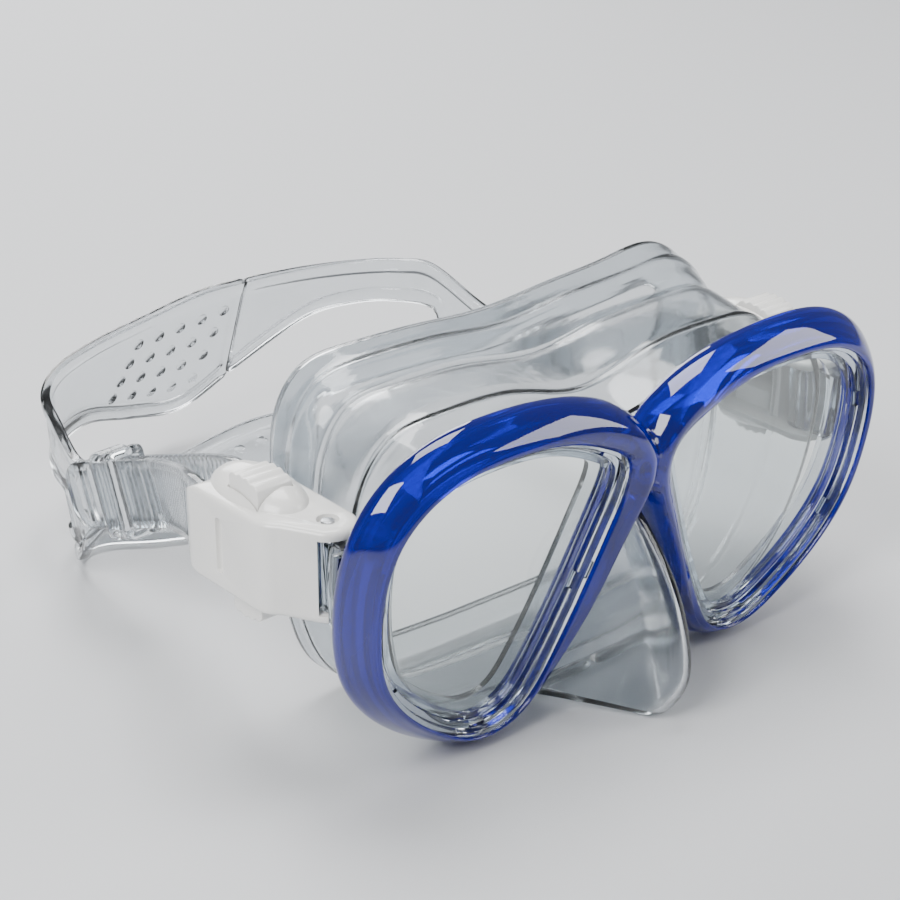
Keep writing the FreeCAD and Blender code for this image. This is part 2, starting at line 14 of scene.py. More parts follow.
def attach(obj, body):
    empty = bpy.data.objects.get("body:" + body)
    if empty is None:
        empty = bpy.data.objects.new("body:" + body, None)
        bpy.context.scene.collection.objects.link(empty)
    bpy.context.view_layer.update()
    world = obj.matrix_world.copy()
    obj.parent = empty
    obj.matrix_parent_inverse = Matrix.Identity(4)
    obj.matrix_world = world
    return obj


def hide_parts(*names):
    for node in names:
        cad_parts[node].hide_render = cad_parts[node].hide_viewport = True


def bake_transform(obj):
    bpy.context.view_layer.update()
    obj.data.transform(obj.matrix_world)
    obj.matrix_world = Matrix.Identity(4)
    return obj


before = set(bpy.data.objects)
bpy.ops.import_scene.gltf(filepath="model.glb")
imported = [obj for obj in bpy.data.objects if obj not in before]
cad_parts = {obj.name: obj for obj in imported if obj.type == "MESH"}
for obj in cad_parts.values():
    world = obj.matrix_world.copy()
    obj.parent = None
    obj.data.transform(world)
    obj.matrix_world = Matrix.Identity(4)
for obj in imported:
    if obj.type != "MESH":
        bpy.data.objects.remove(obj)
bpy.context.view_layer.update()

LOG = logging.getLogger("diving_mask")

MM = 0.001
FACE_LEAN = math.radians(8.45)  # how far the front leans back, top rearmost
MIDDLE_OFFSET = 80.2            # from the lens openings' foot back to the object's middle
REST_HEIGHT = 4.3               # the lens openings' lowest point above the floor
SHARP_EDGE = math.radians(40)   # edges turned more than this are eased
SEAM_MERGE = 2e-5               # metres within which the points of two joined sheets become one

Point = tuple[float, float, float]
Loop = list[Vector]


class Side(Enum):
    """Side of the wearer that a piece belongs to."""

    RIGHT = -1
    LEFT = 1

    @property
    def word(self) -> str:
        """Name prefix of the side."""
        return self.name.lower()


# ------------------------------------------------------------------ places and curves
def laid(x: float, y: float, z: float) -> Vector:
    """Place of a strap or buckle point in the row frame.

    Args:
        x: millimetres across, wearer's left positive.
        y: millimetres behind the lens openings.
        z: millimetres above the lens openings' lowest point.

    Returns:
        The point in metres.
    """
    return Vector((x, y - MIDDLE_OFFSET, z + REST_HEIGHT)) * MM


def leaned(x: float, y: float, z: float) -> Vector:
    """Place of a point drawn on the upright front assembly.

    Args:
        x: millimetres across.
        y: millimetres behind the lens opening plane.
        z: millimetres above the opening's lowest point.

    Returns:
        The leaned point in metres, in the row frame.
    """
    ahead = y * math.cos(FACE_LEAN) - z * math.sin(FACE_LEAN)
    up = y * math.sin(FACE_LEAN) + z * math.cos(FACE_LEAN)
    return laid(x, ahead, up)


def closed_spline(knots: Sequence[Sequence[float]], count: int) -> np.ndarray:
    """Smooth closed curve through knots, spaced evenly along its length.

    Args:
        knots: points of any number of coordinates; the first two give the length.
        count: number of points wanted.

    Returns:
        An array of count rows.
    """
    table = np.array(knots, dtype=float)
    size = len(table)
    steps = np.linalg.norm(np.roll(table, -1, axis=0)[:, :2] - table[:, :2], axis=1)
    system = np.zeros((size, size))
    right = np.zeros_like(table)
    for row in range(size):
        before, here = steps[row - 1], steps[row]
        system[row, row - 1] = here
        system[row, row] = 2 * (before + here)
        system[row, (row + 1) % size] = before
        rise = (table[(row + 1) % size] - table[row]) / here
        fall = (table[row] - table[row - 1]) / before
        right[row] = 3 * (here * fall + before * rise)
    slopes = np.linalg.solve(system, right)
    fine = []
    per_span = 40  # fine enough to measure the curve's length by its chords
    for row in range(size):
        here = steps[row]
        nxt = (row + 1) % size
        for part in range(per_span):
            t = part / per_span
            fine.append(
                (2 * t**3 - 3 * t**2 + 1) * table[row]
                + (t**3 - 2 * t**2 + t) * here * slopes[row]
                + (-2 * t**3 + 3 * t**2) * table[nxt]
                + (t**3 - t**2) * here * slopes[nxt]
            )
    fine.append(fine[0])
    dense = np.array(fine)
    gaps = np.linalg.norm(np.diff(dense[:, :2], axis=0), axis=1)
    run = np.concatenate([[0.0], np.cumsum(gaps)])
    places = np.linspace(0.0, run[-1], count, endpoint=False)
    return np.stack([np.interp(places, run, dense[:, column]) for column in range(dense.shape[1])], axis=1)


def open_spline(knots: Sequence[Sequence[float]], places: Iterable[float]) -> np.ndarray:
    """Smooth open curve through knots, read at places counted in knots.

    Args:
        knots: points of any number of coordinates.
        places: positions from 0 to the number of knots less one.

    Returns:
        One row per place.
    """
    table = np.array(knots, dtype=float)
    last = len(table) - 1
    slopes = np.zeros_like(table)
    slopes[1:-1] = (table[2:] - table[:-2]) / 2
    slopes[0] = table[1] - table[0]
    slopes[-1] = table[-1] - table[-2]
    rows = []
    for place in places:
        row = min(int(place), last - 1) if last > 0 else 0
        t = place - row
        rows.append(
            (2 * t**3 - 3 * t**2 + 1) * table[row]
            + (t**3 - 2 * t**2 + t) * slopes[row]
            + (-2 * t**3 + 3 * t**2) * table[row + 1]
            + (t**3 - t**2) * slopes[row + 1]
        )
    return np.array(rows)


def arc(centre: tuple[float, float], radii: tuple[float, float], start: float, stop: float,
        steps: int) -> list[tuple[float, float]]:
    """Points along a round or elliptic arc.

    Args:
        centre: middle of the arc.
        radii: radius along each coordinate.
        start: first angle in degrees.
        stop: last angle in degrees.
        steps: number of steps between them.

    Returns:
        One point more than there are steps.
    """
    angles = [math.radians(start + (stop - start) * step / steps) for step in range(steps + 1)]
    return [(centre[0] + radii[0] * math.cos(turn), centre[1] + radii[1] * math.sin(turn)) for turn in angles]


def outward_normals(loop: np.ndarray) -> np.ndarray:
    """Unit normals of a closed 2-D loop that point out of it.

    Args:
        loop: rows whose first two columns are across and up.

    Returns:
        One normal per row.
    """
    along = np.roll(loop, -1, axis=0)[:, :2] - np.roll(loop, 1, axis=0)[:, :2]
    along /= np.linalg.norm(along, axis=1)[:, None]
    normals = np.stack([along[:, 1], -along[:, 0]], axis=1)
    area = 0.5 * np.sum(loop[:, 0] * np.roll(loop[:, 1], -1) - np.roll(loop[:, 0], -1) * loop[:, 1])
    return normals if area > 0 else -normals


# ------------------------------------------------------------------ modelling by operators
def deselect_all() -> None:
    """Leave edit mode and select nothing."""
    if bpy.context.object and bpy.context.object.mode != "OBJECT":
        bpy.ops.object.mode_set(mode="OBJECT")
    bpy.ops.object.select_all(action="DESELECT")


def pick(piece: bpy.types.Object) -> bpy.types.Object:
    """Select one piece alone and make it active."""
    deselect_all()
    piece.select_set(True)
    bpy.context.view_layer.objects.active = piece
    return piece


def tidy_mesh(piece: bpy.types.Object, merge: float = 1e-6) -> None:
    """Merge doubled points and turn faces outward.

    Args:
        piece: the piece to clean.
        merge: merging distance in metres.
    """
    pick(piece)
    bpy.ops.object.mode_set(mode="EDIT")
    bpy.ops.mesh.select_all(action="SELECT")
    bpy.ops.mesh.remove_doubles(threshold=merge)
    bpy.ops.mesh.normals_make_consistent(inside=False)
    bpy.ops.object.mode_set(mode="OBJECT")


def surface(name: str, rows: Sequence[Loop], around: bool = False, across: bool = False,
            fullness: Sequence[Sequence[float]] | None = None) -> bpy.types.Object:
    """Skin over rows of points, from a grid primitive drawn out to them.

    Args:
        name: name of the piece.
        rows: rows of points in metres, all of one length.
        around: whether each row closes on itself.
        across: whether the last row joins the first.
        fullness: share of full wall thickness at each point, kept as a vertex group.

    Returns:
        The new piece, clean and smooth.
    """
    rows = [list(row) + [row[0]] if around else list(row) for row in rows]
    if across:
        rows = rows + [rows[0]]
    tall, wide = len(rows), len(rows[0])
    deselect_all()
    bpy.ops.mesh.primitive_grid_add(x_subdivisions=wide - 1, y_subdivisions=tall - 1, size=2.0)
    piece = bpy.context.object
    piece.name = name
    piece.data.name = name
    for vertex in piece.data.vertices:
        column = round((vertex.co.x + 1.0) / 2.0 * (wide - 1))
        row = round((vertex.co.y + 1.0) / 2.0 * (tall - 1))
        vertex.co = rows[row][column]
        if fullness is not None:
            group = piece.vertex_groups.get("fullness") or piece.vertex_groups.new(name="fullness")
            group.add([vertex.index], fullness[row][column], "REPLACE")
    tidy_mesh(piece)
    bpy.ops.object.shade_smooth()
    return piece


def modify(piece: bpy.types.Object, kind: str, **settings: object) -> None:
    """Add a modifier with settings and apply it.

    Args:
        piece: the piece to change.
        kind: Blender's modifier type.
        settings: values set on the modifier.
    """
    pick(piece)
    modifier = piece.modifiers.new(kind.title(), kind)
    for key, value in settings.items():
        setattr(modifier, key, value)
    bpy.ops.object.modifier_apply(modifier=modifier.name)


def smooth_edges(piece: bpy.types.Object, degrees: float) -> None:
    """Shade a piece smooth except over sharp edges."""
    pick(piece)
    bpy.ops.object.shade_smooth_by_angle(angle=math.radians(degrees))


def ease(piece: bpy.types.Object, radius: float, segments: int, sharp: float = SHARP_EDGE) -> None:
    """Round a piece's sharp edges.

    Args:
        piece: the piece to round.
        radius: size of the rounding in millimetres.
        segments: steps in the rounding.
        sharp: least turn of an edge that is rounded, in radians.
    """
    modify(piece, "BEVEL", width=radius * MM, segments=segments, limit_method="ANGLE", angle_limit=sharp)


def cut_with(piece: bpy.types.Object, cutter: bpy.types.Object) -> None:
    """Cut one closed piece out of another and remove the cutter."""
    modify(piece, "BOOLEAN", operation="DIFFERENCE", object=cutter, solver="EXACT")
    bpy.data.objects.remove(cutter, do_unlink=True)


def join_into(piece: bpy.types.Object, other: bpy.types.Object) -> None:
    """Weld two closed pieces into one solid and remove the second."""
    modify(piece, "BOOLEAN", operation="UNION", object=other, solver="EXACT")
    bpy.data.objects.remove(other, do_unlink=True)


def duplicate(piece: bpy.types.Object, name: str) -> bpy.types.Object:
    """Copy a piece with its own mesh.

    Args:
        piece: the piece to copy.
        name: name of the copy.

    Returns:
        The copy.
    """
    twin = piece.copy()
    twin.data = piece.data.copy()
    twin.name = name
    twin.data.name = name
    bpy.context.scene.collection.objects.link(twin)
    return twin


def mirror_copy(piece: bpy.types.Object, name: str) -> bpy.types.Object:
    """Mirror twin of a piece across the middle plane.

    Args:
        piece: the piece to mirror.
        name: name of the twin.

    Returns:
        The twin, with its faces turned outward again.
    """
    twin = duplicate(piece, name)
    for vertex in twin.data.vertices:
        vertex.co.x = -vertex.co.x
    twin.data.flip_normals()
    return twin


def on_side(piece: bpy.types.Object, side: Side, name: str) -> bpy.types.Object:
    """Piece drawn for the left, moved to its own side.

    Args:
        piece: the piece as drawn on the wearer's left.
        side: the side that it belongs to.
        name: name of the finished piece.

    Returns:
        The piece, or its mirror twin in its place.
    """
    if side is Side.RIGHT:
        twin = mirror_copy(piece, name)
        bpy.data.objects.remove(piece, do_unlink=True)
        piece = twin
    piece.name = name
    return piece


def prism(name: str, outline: Loop, sweep: Vector) -> bpy.types.Object:
    """Closed solid drawn from an outline along a sweep.

    Args:
        name: name of the piece.
        outline: points round the outline.
        sweep: direction and length of the extrusion.

    Returns:
        The new solid.
    """
    deselect_all()
    bpy.ops.mesh.primitive_circle_add(vertices=len(outline), radius=1.0, fill_type="NGON")
    piece = bpy.context.object
    piece.name = name
    piece.data.name = name
    for vertex, point in zip(piece.data.vertices, outline):
        vertex.co = point
    bpy.ops.object.mode_set(mode="EDIT")
    bpy.ops.mesh.select_all(action="SELECT")
    bpy.ops.mesh.extrude_region_move(TRANSFORM_OT_translate={"value": sweep})
    bpy.ops.mesh.select_all(action="SELECT")
    bpy.ops.mesh.normals_make_consistent(inside=False)
    bpy.ops.object.mode_set(mode="OBJECT")
    return piece


def upright_rod(name: str, centre: Vector, radius: float, depth: float) -> bpy.types.Object:
    """Upright round bar.

    Args:
        name: name of the piece.
        centre: middle of the bar in metres.
        radius: radius in millimetres.
        depth: length in millimetres.

    Returns:
        The new bar.
    """
    deselect_all()
    bpy.ops.mesh.primitive_cylinder_add(vertices=48, radius=radius * MM, depth=depth * MM)
    piece = bpy.context.object
    piece.name = name
    piece.data.name = name
    piece.data.transform(Matrix.Translation(centre))
    return piece


def block(name: str, low: Vector, high: Vector, bevel: float = 0.0) -> bpy.types.Object:
    """Block between two corners, with its edges eased.

    Args:
        name: name of the piece.
        low: lowest corner in metres.
        high: highest corner in metres.
        bevel: edge rounding in millimetres.

    Returns:
        The new block.
    """
    deselect_all()
    bpy.ops.mesh.primitive_cube_add(size=1.0)
    piece = bpy.context.object
    piece.name = name
    piece.data.name = name
    middle, spread = (low + high) / 2, high - low
    for vertex in piece.data.vertices:
        vertex.co = Vector([middle[i] + vertex.co[i] * spread[i] for i in range(3)])
    if bevel > 0.0:
        ease(piece, bevel, 3)
    return piece


def from_node(node: str, name: str) -> bpy.types.Object:
    """Clean copy of a CAD node's mesh, ready for edge rounding.

    Args:
        node: name of the CAD node.
        name: name of the copy.

    Returns:
        The copy, with its loose triangles merged.
    """
    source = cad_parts[node]
    twin = duplicate(source, name)
    twin.parent = None
    twin.matrix_world = Matrix.Identity(4)
    twin.data.materials.clear()
    pick(twin)
    bpy.ops.object.mode_set(mode="EDIT")
    bpy.ops.mesh.select_all(action="SELECT")
    bpy.ops.mesh.customdata_custom_splitnormals_clear()
    bpy.ops.mesh.remove_doubles(threshold=2e-6)
    bpy.ops.mesh.dissolve_limited(angle_limit=math.radians(2.0))
    bpy.ops.object.mode_set(mode="OBJECT")
    return twin


# ------------------------------------------------------------------ finishes
def srgb(code: str) -> tuple[float, float, float, float]:
    """Linear colour of an sRGB hex code.

    Args:
        code: the colour as #rrggbb.

    Returns:
        Red, green, blue and full opacity.
    """
    parts = [int(code[i:i + 2], 16) / 255 for i in (1, 3, 5)]
    linear = [part / 12.92 if part <= 0.04045 else ((part + 0.055) / 1.055) ** 2.4 for part in parts]
    return (linear[0], linear[1], linear[2], 1.0)


def add_node(tree: bpy.types.NodeTree, kind: str, settings: dict[str, object] | None = None,
             inputs: dict[str, object] | None = None,
             links: dict[str, bpy.types.NodeSocket] | None = None) -> bpy.types.Node:
    """Add a shader node with its settings and links.

    Args:
        tree: the material's node tree.
        kind: node type.
        settings: node properties.
        inputs: input sockets set to plain values.
        links: input sockets fed from other nodes' outputs.

    Returns:
        The new node.
    """
    node = tree.nodes.new(kind)
    for key, value in (settings or {}).items():
        setattr(node, key, value)
    for key, value in (inputs or {}).items():
        node.inputs[key].default_value = value
    for key, socket in (links or {}).items():
        tree.links.new(socket, node.inputs[key])
    return node


def fresh(name: str) -> tuple[bpy.types.Material, bpy.types.NodeTree, bpy.types.Node]:
    """Empty material with its shader.

    Args:
        name: name of the material.

    Returns:
        The material, its node tree and its shader.
    """
    material = bpy.data.materials.new(name)
    material.use_nodes = True
    tree = material.node_tree
    tree.nodes.clear()
    shader = tree.nodes.new("ShaderNodeBsdfPrincipled")
    output = tree.nodes.new("ShaderNodeOutputMaterial")
    tree.links.new(shader.outputs["BSDF"], output.inputs["Surface"])
    return material, tree, shader


@dataclass(frozen=True)
class ClearFinish:
    """Transparent moulding: tinted polycarbonate, silicone or glass.

    Fine ripple and a faint polish haze break up the reflections as on a real moulding. Sizes are in
    millimetres. The body is the share of light that the dye scatters, and mottle how far the tint
    wanders from place to place.
    """

    name: str
    tint: str
    ior: float
    polish: float
    haze: float
    ripple_size: float
    ripple_height: float
    body: float = 0.0
    coat: float = 0.0
    mottle: float = 0.0

    def make(self) -> bpy.types.Material:
        """Build the material."""
        material, tree, shader = fresh(self.name)
        coords = add_node(tree, "ShaderNodeTexCoord")
        grain = add_node(tree, "ShaderNodeTexNoise",
                         inputs={"Scale": 1.0 / (self.ripple_size * MM), "Detail": 3.0, "Roughness": 0.45},
                         links={"Vector": coords.outputs["Object"]})
        rough = add_node(tree, "ShaderNodeMapRange", inputs={"From Min": 0.35, "From Max": 0.75,
                                                             "To Min": self.polish,
                                                             "To Max": self.polish + self.haze},
                         links={"Value": grain.outputs["Fac"]})
        tree.links.new(rough.outputs["Result"], shader.inputs["Roughness"])
        wave = add_node(tree, "ShaderNodeTexNoise",
                        inputs={"Scale": 0.12 / (self.ripple_size * MM), "Detail": 1.0},
                        links={"Vector": coords.outputs["Object"]})
        bump = add_node(tree, "ShaderNodeBump", inputs={"Strength": 0.6, "Distance": self.ripple_height * MM},
                        links={"Height": wave.outputs["Fac"]})
        tree.links.new(bump.outputs["Normal"], shader.inputs["Normal"])
        shader.inputs["Base Color"].default_value = srgb(self.tint)
        shader.inputs["IOR"].default_value = self.ior
        shader.inputs["Transmission Weight"].default_value = 1.0 - self.body
        if self.coat > 0.0:
            shader.inputs["Coat Weight"].default_value = self.coat
            shader.inputs["Coat Roughness"].default_value = 0.02
        if self.mottle > 0.0:
            clear = srgb(self.tint)
            shade = tuple(channel * (1.0 - self.mottle) for channel in clear[:3]) + (1.0,)
            blend = add_node(tree, "ShaderNodeMix", settings={"data_type": "RGBA"},
                             links={"Factor": wave.outputs["Fac"]})
            blend.inputs[6].default_value = clear
            blend.inputs[7].default_value = shade
            tree.links.new(blend.outputs[2], shader.inputs["Base Color"])
        return material


@dataclass(frozen=True)
class GlossPlastic:
    """Opaque injection-moulded plastic with a polished tool finish and faint handling marks."""

    name: str
    colour: str
    shade: str
    roughness: float = 0.22

    def make(self) -> bpy.types.Material:
        """Build the material."""
        material, tree, shader = fresh(self.name)
        coords = add_node(tree, "ShaderNodeTexCoord")
        cloud = add_node(tree, "ShaderNodeTexNoise", inputs={"Scale": 90.0, "Detail": 4.0},
                         links={"Vector": coords.outputs["Object"]})
        tone = add_node(tree, "ShaderNodeMix", settings={"data_type": "RGBA"},
                        links={"Factor": cloud.outputs["Fac"]})
        tone.inputs[6].default_value = srgb(self.colour)
        tone.inputs[7].default_value = srgb(self.shade)
        tree.links.new(tone.outputs[2], shader.inputs["Base Color"])
        grain = add_node(tree, "ShaderNodeTexNoise", inputs={"Scale": 2600.0, "Detail": 2.0},
                         links={"Vector": coords.outputs["Object"]})
        rough = add_node(tree, "ShaderNodeMapRange", inputs={"To Min": self.roughness - 0.06,
                                                             "To Max": self.roughness + 0.1},
                         links={"Value": cloud.outputs["Fac"]})
        tree.links.new(rough.outputs["Result"], shader.inputs["Roughness"])
        bump = add_node(tree, "ShaderNodeBump", inputs={"Strength": 0.25, "Distance": 0.00002},
                        links={"Height": grain.outputs["Fac"]})
        tree.links.new(bump.outputs["Normal"], shader.inputs["Normal"])
        shader.inputs["Coat Weight"].default_value = 0.35
        shader.inputs["Coat Roughness"].default_value = 0.08
        shader.inputs["Subsurface Weight"].default_value = 0.05
        shader.inputs["Subsurface Radius"].default_value = (0.002, 0.002, 0.002)
        return material


@dataclass(frozen=True)
class TurnedSteel:
    """Stainless pin with fine turning rings."""

    name: str = "turned_stainless_steel"

    def make(self) -> bpy.types.Material:
        """Build the material."""
        material, tree, shader = fresh(self.name)
        coords = add_node(tree, "ShaderNodeTexCoord")
        rings = add_node(tree, "ShaderNodeTexWave", settings={"bands_direction": "Z"},
                         inputs={"Scale": 1400.0, "Distortion": 1.5, "Detail": 2.0},
                         links={"Vector": coords.outputs["Object"]})
        rough = add_node(tree, "ShaderNodeMapRange", inputs={"To Min": 0.18, "To Max": 0.34},
                         links={"Value": rings.outputs["Fac"]})
        tree.links.new(rough.outputs["Result"], shader.inputs["Roughness"])
        bump = add_node(tree, "ShaderNodeBump", inputs={"Strength": 0.3, "Distance": 0.00001},
                        links={"Height": rings.outputs["Fac"]})
        tree.links.new(bump.outputs["Normal"], shader.inputs["Normal"])
        shader.inputs["Base Color"].default_value = srgb("#b9bbbf")
        shader.inputs["Metallic"].default_value = 1.0
        return material


@dataclass(frozen=True)
class PaleFloor:
    """Plain pale floor with a faint matt tooth."""

    name: str = "pale_floor"

    def make(self) -> bpy.types.Material:
        """Build the material."""
        material, tree, shader = fresh(self.name)
        coords = add_node(tree, "ShaderNodeTexCoord")
        tooth = add_node(tree, "ShaderNodeTexNoise", inputs={"Scale": 400.0, "Detail": 2.0},
                         links={"Vector": coords.outputs["Object"]})
        bump = add_node(tree, "ShaderNodeBump", inputs={"Strength": 0.05, "Distance": 0.0001},
                        links={"Height": tooth.outputs["Fac"]})
        tree.links.new(bump.outputs["Normal"], shader.inputs["Normal"])
        shader.inputs["Base Color"].default_value = srgb("#cfd0d2")
        shader.inputs["Roughness"].default_value = 0.7
        return material


class Shelf:
    """The finishes used on the mask, made once."""

    def __init__(self) -> None:
        """Mix every finish."""
        # Dyed polycarbonate, polished tool: deep royal blue that glows where thin, crisp lamp reflections.
        self.rim = ClearFinish("tinted_blue_polycarbonate", "#0915a6", 1.58, 0.01, 0.03, 0.8, 0.05,
                               body=0.24, coat=0.3).make()
        # Undyed polycarbonate, polished tool: colourless, bright edge lines at every step.
        self.clear = ClearFinish("clear_polycarbonate", "#eef5fd", 1.57, 0.01, 0.04, 0.7, 0.03).make()
        # Float glass, toughened: flat and clean, a faint green cast.
        self.lens = ClearFinish("toughened_glass", "#f7fcfb", 1.52, 0.0, 0.01, 1.0, 0.004).make()
        # Liquid silicone, moulded: slightly milky and soft, reflections blurred by its skin.
        self.skirt = ClearFinish("clear_silicone_skirt", "#e9edf0", 1.41, 0.07, 0.08, 0.6, 0.10,
                                 mottle=0.04).make()
        # The same silicone in a stiffer grade: a little greyer through its thickness.
        self.strap = ClearFinish("clear_silicone_strap", "#e4e8eb", 1.41, 0.07, 0.08, 0.5, 0.06,
                                 mottle=0.04).make()
        # Acetal, injection moulded: warm white with a low sheen and faint handling marks.
        self.white = GlossPlastic("white_moulded_acetal", "#f3f2ef", "#e9e8e4").make()
        # Stainless bar, turned: bright, with fine rings.
        self.steel = TurnedSteel().make()
        self.floor = PaleFloor().make()


def dress(piece: bpy.types.Object, material: bpy.types.Material, body: str | None,
          nodes: Sequence[str]) -> bpy.types.Object:
    """Give a piece its finish and its body, and hide the CAD nodes it stands for.

    Args:
        piece: the piece.
        material: its finish.
        body: the body it rides on, or None for a piece that spans two bodies and is left on none.
        nodes: CAD nodes that it replaces.

    Returns:
        The same piece.
    """
    piece.data.materials.clear()
    piece.data.materials.append(material)
    for polygon in piece.data.polygons:
        polygon.material_index = 0
    if body is not None:
        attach(piece, body)
    if nodes:
        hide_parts(*nodes)
    return piece


def refinish(node: str, material: bpy.types.Material) -> None:
    """Give a CAD node that is kept as it is its finish.

    Args:
        node: name of the CAD node.
        material: the finish.
    """
    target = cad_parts[node]
    target.data.materials.clear()
    target.data.materials.append(material)


# ------------------------------------------------------------------ front assembly
# Knots round the left opening: across, up, rim width, and how far the rim is crowned rather than flared.
OPENING = (
    (7.2, 61.0, 8.5, 1.0), (14.0, 66.4, 9.0, 0.7), (29.0, 72.2, 7.4, 0.25), (45.0, 73.4, 7.0, 0.0),
    (60.0, 70.8, 7.0, 0.0), (70.2, 62.8, 6.8, 0.0), (74.2, 51.5, 6.6, 0.0), (74.4, 40.0, 6.6, 0.0),
    (71.6, 26.5, 6.4, 0.0), (64.1, 14.9, 6.0, 0.0), (53.0, 5.3, 5.4, 0.0), (41.0, 0.0, 4.8, 0.1),
    (31.5, 2.2, 4.8, 0.3), (24.5, 11.2, 4.8, 0.6), (16.0, 29.5, 5.0, 1.0), (9.3, 46.5, 6.5, 1.0),
)


@dataclass
class LensOpening:
    """Outline of one lens opening and the rim width outside it."""

    count: int = 192
    loop: np.ndarray = field(init=False)
    normals: np.ndarray = field(init=False)

    def __post_init__(self) -> None:
        """Draw the outline through its knots."""
        self.loop = closed_spline(OPENING, self.count)
        self.normals = outward_normals(self.loop)

    def ring(self, depth: float, grow: float = 0.0) -> Loop:
        """Loop of points at a depth, grown outward.

        Args:
            depth: millimetres behind the opening plane.
            grow: growth in millimetres.

        Returns:
            The loop in metres.
        """
        return [leaned(x + nx * grow, depth, z + nz * grow)
                for (x, z, _, _), (nx, nz) in zip(self.loop, self.normals)]

    def rim_ring(self, share: float, flared: float, crowned: float, rake: float) -> Loop:
        """Loop on the rim's outside at a share of its local width.

        Args:
            share: share of the local rim width.
            flared: depth in millimetres where the rim flares backward.
            crowned: depth in millimetres where it is crowned forward.
            rake: extra depth per millimetre of drop.

        Returns:
            The loop in metres.
        """
        points = []
        for (x, z, width, crown), (nx, nz) in zip(self.loop, self.normals):
            depth = flared + (crowned - flared) * crown + rake * (73.4 - z)
            points.append(leaned(x + nx * share * width, depth, z + nz * share * width))
        return points


@dataclass
class TintedRim:
    """Blue rim: two rounded rings joined over the nose, rebated behind for the retainers.

    The front is given by share of the rim's width, flared depth and crowned depth; the rebate by growth
    outside the opening and depth.
    """

    rake: float = 0.02
    rake_full_share: float = 0.3
    rake_fade: float = 6.0
    front: tuple[tuple[float, float, float], ...] = (
        (0.0, 0.5, 0.5), (0.0, 0.05, 0.0), (0.02, -0.4, -0.6), (0.08, -0.85, -1.2), (0.17, -0.95, -1.8),
        (0.30, -0.4, -2.7), (0.45, 0.6, -3.3), (0.60, 1.9, -3.2), (0.74, 3.3, -2.2), (0.86, 4.7, -0.6),
        (0.95, 6.1, 1.8), (0.985, 7.4, 4.6), (0.96, 8.7, 7.6), (0.90, 9.4, 9.4),
    )
    rebate: tuple[tuple[float, float], ...] = (
        (1.9, 9.45), (1.6, 9.3), (1.56, 9.0), (1.56, 0.8), (1.5, 0.6), (0.2, 0.6))

    def build(self, opening: LensOpening, shelf: Shelf) -> None:
        """Model and dress the rim.

        Args:
            opening: the lens opening's outline.
            shelf: finishes.
        """
        rows = []
        rear = self.front[-1][1]
        for share, flared, crowned in self.front:
            fading = min(max((rear - flared) / self.rake_fade, 0.0), 1.0)
            rake = self.rake * min(share / self.rake_full_share, 1.0) * fading
            rows.append(opening.rim_ring(share, flared, crowned, rake))
        rows += [opening.ring(depth, grow) for grow, depth in self.rebate]
        ring = surface("outer_frame_moulding", rows, around=True, across=True)
        modify(ring, "MIRROR", use_axis=(True, False, False), use_bisect_axis=(True, False, False),
               use_bisect_flip_axis=(False, False, False), use_clip=True, merge_threshold=SEAM_MERGE)
        tidy_mesh(ring, SEAM_MERGE)
        modify(ring, "SUBSURF", levels=1, render_levels=1)
        smooth_edges(ring, 50)
        dress(ring, shelf.rim, "mask", ["outer_frame"])
        LOG.info("tinted rim: %d faces", len(ring.data.polygons))


@dataclass
class LensRetainer:
    """Clear stepped bezel ring round one lens, with windows for its snap clips.

    The profile is given by growth outside the opening and depth, the clips' windows by length, depth and
    width.
    """

    profile: tuple[tuple[float, float], ...] = (
        (1.35, 0.9), (1.15, 0.65), (-0.9, 0.65), (-1.0, 0.75), (-1.0, 2.1), (-1.1, 2.2), (-2.4, 2.2),
        (-2.5, 2.3), (-2.5, 3.3), (-2.6, 3.4), (-4.2, 3.4), (-4.4, 3.55), (-4.4, 4.15), (-4.3, 4.27),
        (-2.5, 4.27), (-2.3, 4.4), (-2.3, 9.1), (-2.1, 9.2), (1.2, 9.2), (1.35, 9.0),
    )
    clip_places: tuple[float, ...] = (0.04, 0.2, 0.36, 0.5, 0.66, 0.86)
    clip_size: Point = (4.2, 1.5, 1.2)
    clip_inward: float = 1.7
    clip_depth: float = 1.7

    def clip_window(self, opening: LensOpening, place: float) -> bpy.types.Object:
        """Cutter for the small window where a snap clip shows through the ring.

        Args:
            opening: the lens opening's outline.
            place: share of the way round the opening.

        Returns:
            The cutter.
        """
        row = round(place * opening.count) % opening.count
        (x, z, _, _), (nx, nz) = opening.loop[row], opening.normals[row]
        long, deep, wide = self.clip_size
        outline = []
        for along, out in ((-1, -1), (1, -1), (1, 1), (-1, 1)):
            run, grow = along * long / 2, -self.clip_inward + out * wide / 2
            outline.append(leaned(x + nx * grow - nz * run, self.clip_depth, z + nz * grow + nx * run))
        return prism("cutter", outline, leaned(0, deep, 0) - leaned(0, 0, 0))

    def build(self, opening: LensOpening, shelf: Shelf) -> None:
        """Model and dress both retainers.

        Args:
            opening: the lens opening's outline.
            shelf: finishes.
        """
        ring = surface("left_lens_retainer_ring", [opening.ring(depth, grow) for grow, depth in self.profile],
                       around=True, across=True)
        for place in self.clip_places:
            cut_with(ring, self.clip_window(opening, place))
        smooth_edges(ring, 38)
        twin = mirror_copy(ring, "right_lens_retainer_ring")
        dress(ring, shelf.clear, "mask", ["left_lens_retainer"])
        dress(twin, shelf.clear, "mask", ["right_lens_retainer"])
        LOG.info("lens retainers: %d faces each", len(ring.data.polygons))


